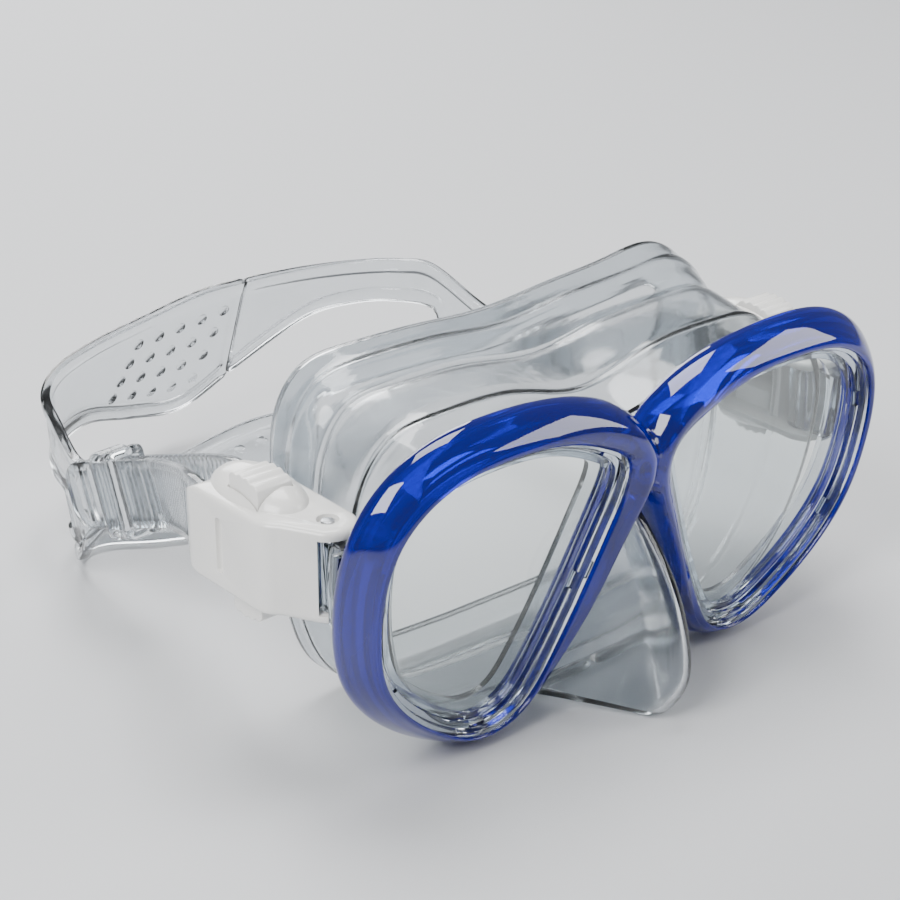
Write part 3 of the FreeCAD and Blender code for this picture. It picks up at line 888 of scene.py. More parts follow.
@dataclass
class SoftSkirt:
    """Clear silicone skirt: flange, wall, sealing flap and nose pocket.

    Half outlines are given by across and up. Depths go with the front, middle and back outlines, each
    with its slope backward per millimetre of height. The wall's stations run from the front (0) to the
    back (2) and turn in at the sealing lip, each with its inset; the pocket's are its levels, each with
    the depth of its tip, its half width and its rounding.
    """

    wall: float = 1.6
    depths: tuple[tuple[float, float], ...] = ((10.0, 0.0), (26.0, 0.10), (45.0, 0.22))
    flange_depth: float = 9.55
    flange_thickness: float = 1.4
    lens_hole_inset: float = 5.4
    root_depth: float = 11.0
    pocket_steps: int = 9
    tip_steps: int = 14
    flange: tuple[tuple[float, float], ...] = (
        (0, 66), (20, 74), (45, 78), (63, 74), (72, 64), (76, 48), (75, 34), (70, 20), (60, 7), (50, 0),
        (41, -3), (28, -3.5), (14, -4.6), (0, -5))
    front: tuple[tuple[float, float], ...] = (
        (0, 63), (20, 70), (42, 72), (57, 69), (64.5, 59), (66.5, 47), (65.5, 33), (61, 18), (52, 5),
        (43, -1), (33, -2.5), (20, -4), (10, -4.6), (0, -5))
    middle: tuple[tuple[float, float], ...] = (
        (0, 67), (20, 70.5), (42, 71.5), (56, 69), (62.5, 60), (64.5, 47), (64, 32), (60, 16), (52, 3),
        (42, -4), (31, -6), (20, -6.8), (10, -7.2), (0, -7.4))
    back: tuple[tuple[float, float], ...] = (
        (0, 70), (20, 71), (40, 71.5), (54, 69.5), (61.5, 61), (63.8, 47), (64.0, 30), (62, 12),
        (56, -2), (46, -8), (33, -9.6), (20, -10), (10, -10), (0, -10))
    back_left: tuple[tuple[float, float], ...] = (
        (0, 70), (20, 71.5), (40, 73), (57, 73), (64.5, 67), (65.5, 50), (64.5, 31), (62, 12), (56, -2),
        (46, -8), (33, -9.6), (20, -10), (10, -10), (0, -10))
    stations: tuple[tuple[float, float], ...] = (
        (0.0, 0.9), (0.1, 0.8), (0.35, 0.8), (0.58, 0.85), (0.62, 0.3), (0.68, 0.3), (0.72, 0.9),
        (0.95, 0.9), (1.15, 1.0), (1.28, 1.4), (1.34, 2.4), (1.40, 2.6), (1.47, 1.6), (1.52, 0.9),
        (1.62, 0.8), (1.66, 0.2), (1.72, 0.2), (1.76, 0.8), (1.88, 0.8), (1.97, 0.9), (2.0, 1.4),
        (1.995, 2.6), (1.96, 5.5), (1.93, 8.6), (1.915, 11.2),
    )
    nose_hole: tuple[tuple[float, float], ...] = (
        (0, 46), (6, 34), (12, 20), (17, 8), (20, -1), (0, -1.5), (-20, -1), (-17, 8), (-12, 20), (-6, 34))
    pocket: tuple[tuple[float, float, float, float], ...] = (
        (46.0, 3.0, 2.8, 1.6), (36.0, -8.5, 6.2, 2.6), (25.0, -16.5, 10.6, 3.6), (11.0, -20.5, 17.4, 4.6),
        (0.0, -16.5, 22.0, 5.0), (-2.0, -12.8, 22.6, 5.0))
    pocket_places: tuple[float, ...] = tuple(i * 0.25 for i in range(17)) + (4.3, 4.6, 4.8, 4.92, 5.0)
    floor_shares: tuple[float, ...] = (0.9, 0.75, 0.5, 0.25, 0.04)
    floor_middle: float = 10.0
    floor_drop: float = 0.25
    count: int = 200

    def loop(self, left: Sequence[tuple[float, float]], right: Sequence[tuple[float, float]], depth: float,
             slope: float, inset: float) -> Loop:
        """Closed loop from a left and a right half outline at a sloping depth.

        Args:
            left: half outline on the wearer's left, top to bottom.
            right: half outline on the wearer's right, drawn as on the left.
            depth: depth in millimetres at the opening's foot.
            slope: extra depth per millimetre of height.
            inset: millimetres inside the outline.

        Returns:
            The loop in metres.
        """
        knots = list(left) + [(-x, z) for x, z in reversed(right[1:-1])]
        points = closed_spline(knots, self.count)
        normals = outward_normals(points)
        return [leaned(x - nx * inset, depth + slope * z, z - nz * inset)
                for (x, z), (nx, nz) in zip(points, normals)]

    def between(self, station: float, inset: float) -> Loop:
        """Loop part way from the front outline to the back one.

        Args:
            station: 0 at the front outline, 1 at the middle one and 2 at the back one.
            inset: millimetres inside the outline.

        Returns:
            The loop in metres.
        """
        halves = []
        for back in (self.back_left, self.back):
            sets = [np.array(self.front), np.array(self.middle), np.array(back)]
            rows = [np.concatenate([half.ravel(), np.array(depth)]) for half, depth in zip(sets, self.depths)]
            row = open_spline(rows, [station])[0]
            halves.append([tuple(pair) for pair in row[:-2].reshape(-1, 2)])
        return self.loop(halves[0], halves[1], row[-2], row[-1], inset)

    def build(self, opening: LensOpening, shelf: Shelf) -> None:
        """Model and dress the skirt.

        Args:
            opening: the lens opening's outline.
            shelf: finishes.
        """
        skin = surface("skirt_wall", [self.between(station, inset) for station, inset in self.stations],
                       around=True)
        modify(skin, "SOLIDIFY", thickness=self.wall * MM, offset=0.0, use_even_offset=False)
        modify(skin, "SUBSURF", levels=1, render_levels=1)
        dress(skin, shelf.skirt, "mask", ["skirt"])
        LOG.info("skirt wall: %d faces", len(skin.data.polygons))
        self.flange_plate(opening, shelf)
        self.nose_pocket(shelf)

    def flange_plate(self, opening: LensOpening, shelf: Shelf) -> None:
        """Flat flange clamped behind the rim, open at the lenses and the nose.

        Args:
            opening: the lens opening's outline.
            shelf: finishes.
        """
        ahead = self.flange_depth - 2.5
        sweep = leaned(0, 6.0, 0) - leaned(0, 0, 0)
        thickness = leaned(0, self.flange_thickness, 0) - leaned(0, 0, 0)
        outline = self.loop(self.flange, self.flange, self.flange_depth, 0.0, 0.0)
        plate = prism("skirt_flange", outline, thickness)
        for flip in (1, -1):
            ring = [Vector((p.x * flip, p.y, p.z)) for p in opening.ring(ahead, -self.lens_hole_inset)]
            cut_with(plate, prism("cutter", ring, sweep))
        cut_with(plate, prism("cutter", [leaned(x, ahead, z) for x, z in self.nose_hole], sweep))
        smooth_edges(plate, 40)
        dress(plate, shelf.skirt, "mask", [])
        LOG.info("skirt flange: %d faces", len(plate.data.polygons))

    def nose_pocket(self, shelf: Shelf) -> None:
        """Nose pocket standing forward between the lenses, with its floor drawn together to a point.

        Args:
            shelf: finishes.
        """
        levels = open_spline(self.pocket, self.pocket_places)
        rows = [self.pocket_row(*level, self.root_depth) for level in levels]
        height, tip, half, rounding = self.pocket[-1]
        for share in self.floor_shares:
            level = (height - self.floor_drop, self.floor_middle + (tip - self.floor_middle) * share,
                     half * share, max(rounding * share, 0.2))
            rows.append(self.pocket_row(*level, self.floor_middle))
        skin = surface("nose_pocket_shell", rows)
        modify(skin, "SOLIDIFY", thickness=self.wall * MM, offset=-1.0, use_even_offset=False)
        modify(skin, "SUBSURF", levels=1, render_levels=1)
        dress(skin, shelf.skirt, "mask", [])
        LOG.info("nose pocket: %d faces", len(skin.data.polygons))

    def pocket_row(self, height: float, tip: float, half: float, rounding: float, back: float) -> Loop:
        """One level row of the pocket from its left root round the tip to its right root.

        Args:
            height: level in millimetres.
            tip: depth of the tip.
            half: half of the width at the root.
            rounding: radius of the tip.
            back: depth of the root.

        Returns:
            The row in metres.
        """
        spread = math.atan2(half - rounding, back - tip - rounding)
        near_x, near_y = rounding * math.cos(spread), tip + rounding - rounding * math.sin(spread)
        shares = [step / self.pocket_steps for step in range(self.pocket_steps)]
        side = [(half + (near_x - half) * t, back + (near_y - back) * t) for t in shares]
        row = [leaned(x, y, height) for x, y in side]
        for step in range(self.tip_steps + 1):
            angle = -spread + (-math.pi + 2 * spread) * step / self.tip_steps
            depth = tip + rounding + rounding * math.sin(angle)
            row.append(leaned(rounding * math.cos(angle), depth, height))
        return row + [leaned(-x, y, height) for x, y in reversed(side)]


# ------------------------------------------------------------------ head strap
UP = Vector((0.0, 0.0, 1.0))
PIN_OUT, PIN_DEPTH, LEVEL = 73.5, 13.0, 48.5   # hinge pin, and the height of the buckle's middle
ROLLER_OUT, ROLLER_DEPTH = 74.5, 44.5
STRAP_WIDTH, STRAP_THICKNESS = 17.0, 2.6
# the stretch where the strap's two layers lie flat on each other
STRAIGHT_START, STRAIGHT_END = Vector((65.9, 84.0, 37.6)), Vector((67.6, 112.0, 27.4))
STRAIGHT_RUN = (STRAIGHT_END - STRAIGHT_START).normalized()
STRAIGHT_SIDE = STRAIGHT_RUN.cross(UP).normalized()
STRAIGHT_UP = STRAIGHT_SIDE.cross(STRAIGHT_RUN)
LAYER_PITCH = 3.0                              # from the inner layer's middle to the tail's


def along_straight(distance: float, outward: float = 0.0) -> Vector:
    """Place in millimetres on the strap's straight stretch behind the buckle."""
    return STRAIGHT_START + STRAIGHT_RUN * distance + STRAIGHT_SIDE * outward


@dataclass
class RearStrap:
    """Moulded head strap that parts into an upper and a lower band behind the head.

    Each side has four lines of knots: the strap's upper edge, the slot's upper and lower edges and the
    strap's lower edge. They meet in the middle knots. Stations count knots from the left tongue's end (0)
    to the right one's (14).
    """

    thickness: float = STRAP_THICKNESS
    thin_share: float = 0.48
    border: float = 3.8
    per_span: int = 8
    seam: float = 6.2
    last_station: float = 14.0
    link_stations: float = 2.0
    edge_shares: tuple[float, ...] = (0.0, 0.47, 0.73, 1.0)
    border_growth: tuple[float, float] = (1.7, 0.3)
    slot_shares: tuple[float, ...] = (0.25, 0.5, 0.75)
    pad_station: float = 7.5
    pad_columns: int = 5
    pad_shares: tuple[float, float] = (0.24, 0.76)
    pad_stagger: float = 0.30
    pad_rows: tuple[tuple[int, int, float], ...] = ((0, 4, 0.40), (2, 3, 0.36))
    bend: tuple[Point, Point] = ((67.0, 112.0, 27.0), (59.0, 140.0, 24.0))
    dimple_radius: float = 2.2
    dimple_lift: float = 1.3
    right_lines: tuple[tuple[Point, ...], ...] = (
        ((66.0, 127.5, 30.4), (62.0, 143.0, 34.0), (58.6, 153.5, 37.0), (50.0, 160.5, 39.8),
         (36.0, 164.4, 42.0), (18.0, 166.5, 44.0)),
        ((66.2, 125.3, 19.4), (62.2, 139.2, 16.0), (58.9, 150.5, 17.2), (50.5, 162.0, 17.6),
         (36.5, 171.5, 16.2), (18.0, 178.8, 10.0)),
        ((66.4, 123.8, 13.3), (63.2, 134.5, 7.2), (60.0, 141.4, 5.6), (52.8, 145.6, 5.4),
         (38.0, 146.0, 8.0), (20.0, 145.8, 12.6)),
        ((66.6, 122.5, 7.0), (63.6, 131.4, -0.8), (60.0, 137.4, -3.0), (52.0, 138.4, -3.0),
         (38.4, 130.0, -3.0), (20.2, 123.0, -3.0)),
    )
    left_lines: tuple[tuple[Point, ...], ...] = (
        ((66.0, 127.5, 39.0), (62.0, 143.0, 46.6), (58.6, 153.5, 46.0), (50.0, 160.5, 45.6),
         (36.0, 164.4, 46.0), (18.0, 166.5, 46.5)),
        ((66.2, 126.2, 28.6), (62.0, 141.6, 33.6), (58.6, 152.2, 33.4), (50.0, 161.5, 32.6),
         (36.0, 168.6, 29.6), (18.0, 177.0, 17.4)),
        ((66.3, 124.8, 21.0), (62.8, 136.6, 22.0), (59.8, 143.0, 18.2), (52.6, 146.4, 14.0),
         (38.0, 146.2, 11.4), (20.0, 145.8, 13.4)),
        ((66.4, 123.6, 13.0), (63.4, 132.6, 8.6), (60.0, 138.6, 4.6), (52.0, 139.2, 0.8),
         (38.4, 130.4, -2.0), (20.2, 123.2, -3.0)),
    )
    middle: tuple[Point, ...] = ((0.0, 167.0, 46.5), (0.0, 181.0, 7.2), (0.0, 146.0, 15.0), (0.0, 120.6, -3.0))

    def edges(self) -> list[list[Point]]:
        """Four edge lines from the left tongue's end round the back to the right one's."""
        start = along_straight((STRAIGHT_END - STRAIGHT_START).length + 0.3)
        half = STRAIGHT_UP * (STRAP_WIDTH / 2)
        top, bottom = start + half, start - half
        lines = []
        for share, left, centre, right in zip(self.edge_shares, self.left_lines, self.middle,
                                              self.right_lines):
            first = tuple(top.lerp(bottom, share))
            far = [(-x, y, z) for x, y, z in reversed((first,) + right)]
            lines.append([first] + list(left) + [centre] + far)
        return lines

    def columns(self, high: np.ndarray, low: np.ndarray, inner_edges: tuple[bool, bool],
                fade: float) -> tuple[list[Vector], list[float]]:
        """Points and fullness across one band between its two edges.

        Args:
            high: upper edge point in millimetres.
            low: lower edge point in millimetres.
            inner_edges: whether the upper and lower edges are the slot's.
            fade: how far the slot's border has grown, from 0 to 1.

        Returns:
            The row's points in metres and their fullness.
        """
        width = float(np.linalg.norm(high - low))
        near = [0.0, 0.5, 1.2, self.border * 0.85, self.border * 1.1]
        inner = np.linspace(self.border * 1.1, width - self.border * 1.1, 8)[1:-1]
        places = near + list(inner) + [width - value for value in reversed(near)]
        full = [1.0, 1.0, 1.0, 1.0, 0.0] + [0.0] * len(inner) + [0.0, 1.0, 1.0, 1.0, 1.0]
        if inner_edges[0]:
            full[:4] = [fade] * 4
        if inner_edges[1]:
            full[-4:] = [fade] * 4
        points = [laid(*(high + (low - high) * place / width)) for place in places]
        return points, full

    def sheet(self, name: str, first: float, last: float, parts: Sequence[str]) -> bpy.types.Object:
        """One length of the strap between two stations.

        Args:
            name: name of the piece.
            first: station where it starts.
            last: station where it ends.
            parts: which of "upper", "slot" and "lower" it holds.

        Returns:
            The mid-surface with its fullness group.
        """
        count = max(2, round((last - first) * self.per_span)) + 1
        places = [first + (last - first) * step / (count - 1) for step in range(count)]
        top, slot_top, slot_low, bottom = [open_spline(line, places) for line in self.edges()]
        rows, fullness = [], []
        for index, place in enumerate(places):
            from_end = min(place, self.last_station - place)
            begin, over = self.border_growth
            fade = min(max((from_end - begin) / over, 0.0), 1.0)
            ridge = abs(place - self.seam) < 0.02
            points: list[Vector] = []
            full: list[float] = []
            if "upper" in parts:
                more, weights = self.columns(top[index], slot_top[index], (False, True), fade)
                points, full = points + more, full + weights
            if "slot" in parts:
                for share in self.slot_shares:
                    points.append(laid(*(slot_top[index] + (slot_low[index] - slot_top[index]) * share)))
                    full.append(fade)
            if "lower" in parts:
                more, weights = self.columns(slot_low[index], bottom[index], (True, False), fade)
                points, full = points + more, full + weights
            rows.append(points)
            fullness.append([1.0] * len(full) if ridge else full)
        return surface(name, rows, fullness=fullness)

    def thicken(self, piece: bpy.types.Object) -> None:
        """Give the sheet its thickness, full at the borders and thinner between them."""
        modify(piece, "SOLIDIFY", thickness=self.thickness * MM, offset=0.0, use_even_offset=False,
               vertex_group="fullness", thickness_vertex_group=self.thin_share)
        modify(piece, "SUBSURF", levels=1, render_levels=1)

    def dimples(self, piece: bpy.types.Object) -> None:
        """Sink the grip dimples into both rear pads.

        Args:
            piece: the half of the strap that holds the pads.
        """
        lines = self.edges()
        least, most = self.pad_shares
        cutters = []
        for line, rows, pitch in self.pad_rows:
            for row in range(rows):
                for column in range(self.pad_columns):
                    share = least + (most - least) * row / (rows - 1)
                    shift = column - (self.pad_columns - 1) / 2 + self.pad_stagger * (row - (rows - 1) / 2)
                    place = self.pad_station + shift * pitch
                    high, ahead_high = open_spline(lines[line], [place, place + 0.05])
                    low, ahead_low = open_spline(lines[line + 1], [place, place + 0.05])
                    here = Vector(high + (low - high) * share)
                    ahead = Vector(ahead_high + (ahead_low - ahead_high) * share) - here
                    out = ahead.cross(Vector(low - high)).normalized()
                    if out.y > 0:
                        out = -out
                    centre = here + out * (self.thickness * self.thin_share / 2 + self.dimple_lift)
                    bpy.ops.mesh.primitive_uv_sphere_add(
                        segments=24, ring_count=14, radius=self.dimple_radius * MM, location=laid(*centre))
                    cutters.append(bpy.context.object)
        pick(cutters[0])
        for cutter in cutters:
            cutter.select_set(True)
        bpy.ops.object.join()
        cut_with(piece, bpy.context.object)

    def build(self, shelf: Shelf) -> None:
        """Model and dress the two halves of the strap, which meet at the ridge beside the pads.

        Args:
            shelf: finishes.
        """
        near, far = self.link_stations, self.last_station - self.link_stations
        for side in Side:
            left = side is Side.LEFT
            link = (0.0, near) if left else (far, self.last_station)
            reach = (near, self.seam) if left else (self.seam, far)
            half = self.sheet(side.word + "_strap_half", *link, ("upper", "slot", "lower"))
            bands = [self.sheet("band", *reach, (part,)) for part in ("upper", "lower")]
            pick(half)
            for band in bands:
                band.select_set(True)
            bpy.ops.object.join()
            tidy_mesh(half, SEAM_MERGE)
            self.thicken(half)
            if not left:
                self.dimples(half)
            smooth_edges(half, 45)
            dress(half, shelf.strap, None, ["strap_back"])
            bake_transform(half)
            LOG.info("%s half of the strap: %d faces", side.word, len(half.data.polygons))


@dataclass
class StrapTongue:
    """Strap end at one buckle: inner layer, turn round the roller and the ribbed tail.

    The ways in and out of the buckle are given by place and direction of run.
    """

    width: float = STRAP_WIDTH
    thickness: float = STRAP_THICKNESS
    rib_pitch: float = 2.1
    rib_rise: float = 0.45
    rib_waves: tuple[float, ...] = (0.0, 0.75, 1.0, 0.75)
    turn_radius: float = 6.4
    turn_steps: int = 8
    inner_distances: tuple[float, ...] = (30.2, 24.0, 18.0, 12.0, 6.0, 0.0)
    tail_distances: tuple[float, ...] = (0.0, 6.0, 12.0, 18.0, 24.0, 30.0, 35.0, 39.3)
    way_in: tuple[tuple[Point, Point], ...] = (
        ((66.3, 68.0, 43.6), (-0.06, 1, -0.36)), ((67.6, 56.0, 47.8), (-0.08, 1, -0.16)),
        ((68.1, 52.0, LEVEL), (0, 1, 0)))
    way_out: tuple[tuple[Point, Point], ...] = (
        ((80.5, 50.0, LEVEL), (-0.18, 1, 0)), ((79.4, 55.0, 48.0), (-0.32, 1, -0.12)),
        ((74.9, 66.0, 44.4), (-0.32, 1, -0.34)))
    spline_steps: int = 24
    plain_start: float = 2.5
    plain_end: float = 5.0
    tip_length: float = 6.0
    tip_share: float = 0.42

    def path(self) -> list[tuple[Vector, Vector, Vector]]:
        """Stations from the strap's end to the tail's tip.

        Returns:
            Centre, outer-face normal and upward direction of each station.
        """
        stations = []
        for distance in self.inner_distances:
            stations.append((along_straight(distance), -STRAIGHT_SIDE, STRAIGHT_UP))
        for place, run in self.way_in:
            side = Vector(run).normalized().cross(UP).normalized()
            stations.append((Vector(place), -side, side.cross(Vector(run).normalized())))
        for step in range(self.turn_steps + 1):
            angle = math.pi + math.pi * step / self.turn_steps
            out = Vector((math.cos(angle), math.sin(angle), 0.0))
            stations.append((Vector((ROLLER_OUT, ROLLER_DEPTH, LEVEL)) + out * self.turn_radius, out, UP))
        for place, run in self.way_out:
            side = Vector(run).normalized().cross(UP).normalized()
            stations.append((Vector(place), side, side.cross(Vector(run).normalized())))
        for distance in self.tail_distances:
            stations.append((along_straight(distance, LAYER_PITCH), STRAIGHT_SIDE, STRAIGHT_UP))
        return stations

    def section(self, centre: Vector, normal: Vector, up: Vector, width: float, wave: float) -> Loop:
        """Closed cross-section: bordered, ribbed outer face and flat inner face.

        Args:
            centre: middle of the section in millimetres.
            normal: direction out of the ribbed face.
            up: direction of the upper edge.
            width: width of the section in millimetres.
            wave: rise of the rib here, from 0 to 1.

        Returns:
            The section in metres.
        """
        half, thick = width / 2, self.thickness / 2
        corner = 0.35
        border = min(2.2, half * 0.5)
        base = thick - 0.35
        ribbed = base + self.rib_rise * 1.6 * wave
        outline = [
            (-thick + corner, half), (0.0, half), (thick - corner, half), (thick, half - corner),
            (thick, half - border + 0.4), (ribbed, half - border), (ribbed, half * 0.45), (ribbed, 0.0),
            (ribbed, -half * 0.45), (ribbed, -half + border), (thick, -half + border - 0.4),
            (thick, -half + corner), (thick - corner, -half), (0.0, -half), (-thick + corner, -half),
            (-thick, -half + corner), (-thick, -half * 0.4), (-thick, half * 0.4), (-thick, half - corner),
        ]
        return [laid(*(centre + normal * out + up * rise)) for out, rise in outline]

    def build(self, side: Side, shelf: Shelf) -> None:
        """Model and dress the strap end on one side.

        Args:
            side: side of the mask.
            shelf: finishes.
        """
        table = [tuple(centre) + tuple(normal) + tuple(up) for centre, normal, up in self.path()]
        fine = self.spline_steps
        dense = open_spline(table, [i / fine for i in range((len(table) - 1) * fine + 1)])
        gaps = np.linalg.norm(np.diff(dense[:, :3], axis=0), axis=1)
        run = np.concatenate([[0.0], np.cumsum(gaps)])
        length = run[-1]
        waves = self.rib_waves
        count = int(length / self.rib_pitch * len(waves))
        rows = []
        for step in range(count + 1):
            place = length * step / count
            row = [float(np.interp(place, run, dense[:, column])) for column in range(9)]
            centre, normal, up = Vector(row[:3]), Vector(row[3:6]).normalized(), Vector(row[6:9]).normalized()
            left = length - place
            into_tip = max(0.0, 1 - left / self.tip_length)
            narrowing = self.tip_share + (1 - self.tip_share) * math.sqrt(max(0.0, 1 - into_tip ** 2))
            plain = place < self.plain_start or left < self.plain_end
            wave = 0.5 if plain else waves[step % len(waves)]
            rows.append(self.section(centre, normal, up, self.width * narrowing, wave))
        rows.insert(0, [rows[0][0].lerp(point, 0.5) for point in rows[0]])
        first_middle = sum(rows[1], Vector()) / len(rows[1])
        last_middle = sum(rows[-1], Vector()) / len(rows[-1])
        rows[0] = [first_middle for _ in rows[1]]
        rows.append([last_middle for _ in rows[-1]])
        piece = surface(side.word + "_strap_end", rows, around=True)
        smooth_edges(piece, 50)
        piece = on_side(piece, side, side.word + "_strap_end")
        dress(piece, shelf.strap, side.word + "_buckle", [side.word + "_strap_tongue"])
        LOG.info("%s strap end: %d faces", side.word, len(piece.data.polygons))


@dataclass
class StrapKeeper:
    """Clear loop that holds the tail against the strap."""

    place: float = 18.0
    length: float = 9.0
    inner_thick: float = 6.2
    inner_wide: float = 17.6
    wall: float = 2.2

    def loop(self, distance: float, grow: float, rounding: float) -> Loop:
        """Rounded rectangle round both layers.

        Args:
            distance: distance along the strap in millimetres.
            grow: millimetres outside the loop's inner faces.
            rounding: corner radius in millimetres.

        Returns:
            The loop in metres.
        """
        thick, wide = self.inner_thick / 2 + grow, self.inner_wide / 2 + grow
        points = []
        for corner_out, corner_up, start in ((1, 1, 0), (-1, 1, 90), (-1, -1, 180), (1, -1, 270)):
            for step in range(7):
                angle = math.radians(start + 15 * step)
                out = corner_out * (thick - rounding) + rounding * math.cos(angle)
                rise = corner_up * (wide - rounding) + rounding * math.sin(angle)
                place = along_straight(distance, LAYER_PITCH / 2 + out) + STRAIGHT_UP * rise
                points.append(laid(*place))
        return points

    def build(self, side: Side, shelf: Shelf) -> None:
        """Model and dress the keeper on one side, with a shallow band let in round its middle.

        Args:
            side: side of the mask.
            shelf: finishes.
        """
        low, high = self.place - self.length / 2, self.place + self.length / 2
        let_in = self.wall - 0.35
        entering = ((0.4, 0.0), (0.0, 0.4), (0.0, self.wall - 0.5), (0.5, self.wall), (2.2, self.wall),
                    (2.6, let_in))
        sections = [(low + inward, grow) for inward, grow in entering]
        sections += [(high - inward, grow) for inward, grow in reversed(entering)]
        rows = [self.loop(distance, grow, 0.35 + grow * 0.7) for distance, grow in sections]
        piece = surface(side.word + "_keeper_loop", rows, around=True, across=True)
        smooth_edges(piece, 50)
        piece = on_side(piece, side, side.word + "_keeper_loop")
        dress(piece, shelf.strap, side.word + "_keeper", [side.word + "_strap_keeper"])


# ------------------------------------------------------------------ buckle
@dataclass
class Buckle:
    """White buckle: rounded body, squeeze buttons, pin, roller and the clear lug on the rim.

    Plans are given by across and depth, the buttons' window by its two sides and its two ends.
    """

    half_housing: float = 11.0
    half_gap: float = 8.8
    cover_out: float = 86.0
    back: float = 52.0
    nose: float = 6.6
    inner_edge: float = 66.6
    rounding: float = 1.5
    window: tuple[float, float, float, float] = (73.0, 82.8, 25.2, 36.2)
    window_height: float = 9.5
    hollow: tuple[tuple[float, float], ...] = (
        (55, 0), (79.0, 0), (79.0, 13.5), (80.4, 16.6), (82.6, 18.0), (83.9, 21.5), (84.0, 43),
        (83.4, 47.5), (81.8, 51), (81.4, 60), (55, 60))
    bore_radius: float = 1.55
    counterbore: tuple[float, float] = (2.5, 2.4)
    groove: tuple[float, float, float, float] = (1.3, 34.2, 36.6, 13.0)
    bulkhead: tuple[float, float, float, float] = (71.5, 80.5, 20.6, 22.6)
    ear_place: tuple[float, float] = (76.2, 33.6)
    ear_sunk: float = 1.6
    ear_size: Point = (8.4, 14.6, 6.6)
    ear_narrowing: float = 0.12
    rear_radius: float = 10.0
    button_gap: float = 0.3
    button_stem: float = 4.6
    button_rise: tuple[float, float, float] = (4.1, 0.6, 1.1)
    button_scallops: int = 4
    scallop_rise: float = 0.6
    button_steps: int = 40
    lug_reach: float = 79.8

    def outline(self) -> list[tuple[float, float]]:
        """Plan of the body: rounded nose round the pin, soft outer corners."""
        nose, front, rear, inner = self.nose, 7.5, (5.5, 8.0), 1.5
        return (arc((PIN_OUT, PIN_DEPTH), (nose, nose), 180, 321.6, 12)
                + arc((self.cover_out - front, PIN_DEPTH + 10.2), (front, front), -52, 0, 6)
                + arc((self.cover_out - rear[0], self.back - rear[1]), rear, 0, 90, 8)
                + arc((self.inner_edge + inner, self.back - inner), (inner, inner), 90, 180, 4))

    def plan(self, points: Iterable[tuple[float, float]], level: float) -> Loop:
        """Points of a plan outline lifted to a height."""
        return [laid(x, y, level) for x, y in points]

    def body(self) -> bpy.types.Object:
        """Rounded body with its hollow, button windows and bores."""
        low, high = LEVEL - self.half_housing, LEVEL + self.half_housing
        floor, ceiling = LEVEL - self.half_gap, LEVEL + self.half_gap
        solid = prism("buckle_body", self.plan(self.outline(), low), UP * (high - low) * MM)
        ease(solid, self.rounding, 4, math.radians(60))
        self.round_rear(solid)
        join_into(solid, self.hump(1))
        join_into(solid, self.hump(-1))
        cut_with(solid, prism("cutter", self.plan(self.hollow, floor), UP * (ceiling - floor) * MM))
        inner, outer, front, rear = self.window
        for end in (low - 6.0, high - 3.5):
            above = end + self.window_height
            cut_with(solid, block("cutter", laid(inner, front, end), laid(outer, rear, above)))
        pin = laid(PIN_OUT, PIN_DEPTH, LEVEL)
        cut_with(solid, upright_rod("cutter", pin, self.bore_radius, high - low + 10.0))
        for end in (low, high):
            cut_with(solid, upright_rod("cutter", laid(PIN_OUT, PIN_DEPTH, end), *self.counterbore))
        deep, front, rear, tall = self.groove
        cut_with(solid, block("cutter", laid(self.cover_out - deep, front, LEVEL - tall / 2),
                              laid(self.cover_out + 2, rear, LEVEL + tall / 2), 0.7))
        inner, outer, front, rear = self.bulkhead
        join_into(solid, block("wall", laid(inner, front, floor - 0.1), laid(outer, rear, ceiling + 0.1)))
        ease(solid, 0.22, 2, math.radians(55))
        smooth_edges(solid, 40)
        return solid

    def hump(self, sign: int) -> bpy.types.Object:
        """Smooth ear of the plate that shields the squeeze button.

        Args:
            sign: 1 for the top plate's, -1 for the bottom plate's.

        Returns:
            A closed dome sunk into the plate.
        """
        deselect_all()
        bpy.ops.mesh.primitive_uv_sphere_add(segments=64, ring_count=32, radius=1.0)
        dome = bpy.context.object
        dome.name = "ear"
        centre = laid(*self.ear_place, LEVEL + sign * (self.half_housing - self.ear_sunk))
        across, along, rise = self.ear_size
        for vertex in dome.data.vertices:
            x, y, z = vertex.co
            slimmed = 1.0 - self.ear_narrowing * abs(x)
            vertex.co = centre + Vector((x * across, y * along, z * rise * slimmed)) * MM
        return dome

    def round_rear(self, solid: bpy.types.Object) -> None:
        """Round the body's rear end as seen from the side.

        Args:
            solid: the body.
        """
        radius, edge, far = self.rear_radius, self.back + 4.0, self.half_housing + 9.0
        start, level = self.back - radius, self.half_housing - radius
        corner = arc((start, level), (radius, radius), 90, 0, 18)
        profile = corner + [(edge, level), (edge, far), (start, far)]
        for sign in (1, -1):
            outline = [laid(60.0, y, LEVEL + sign * z) for y, z in profile]
            cut_with(solid, prism("cutter", outline, Vector((35, 0, 0)) * MM))

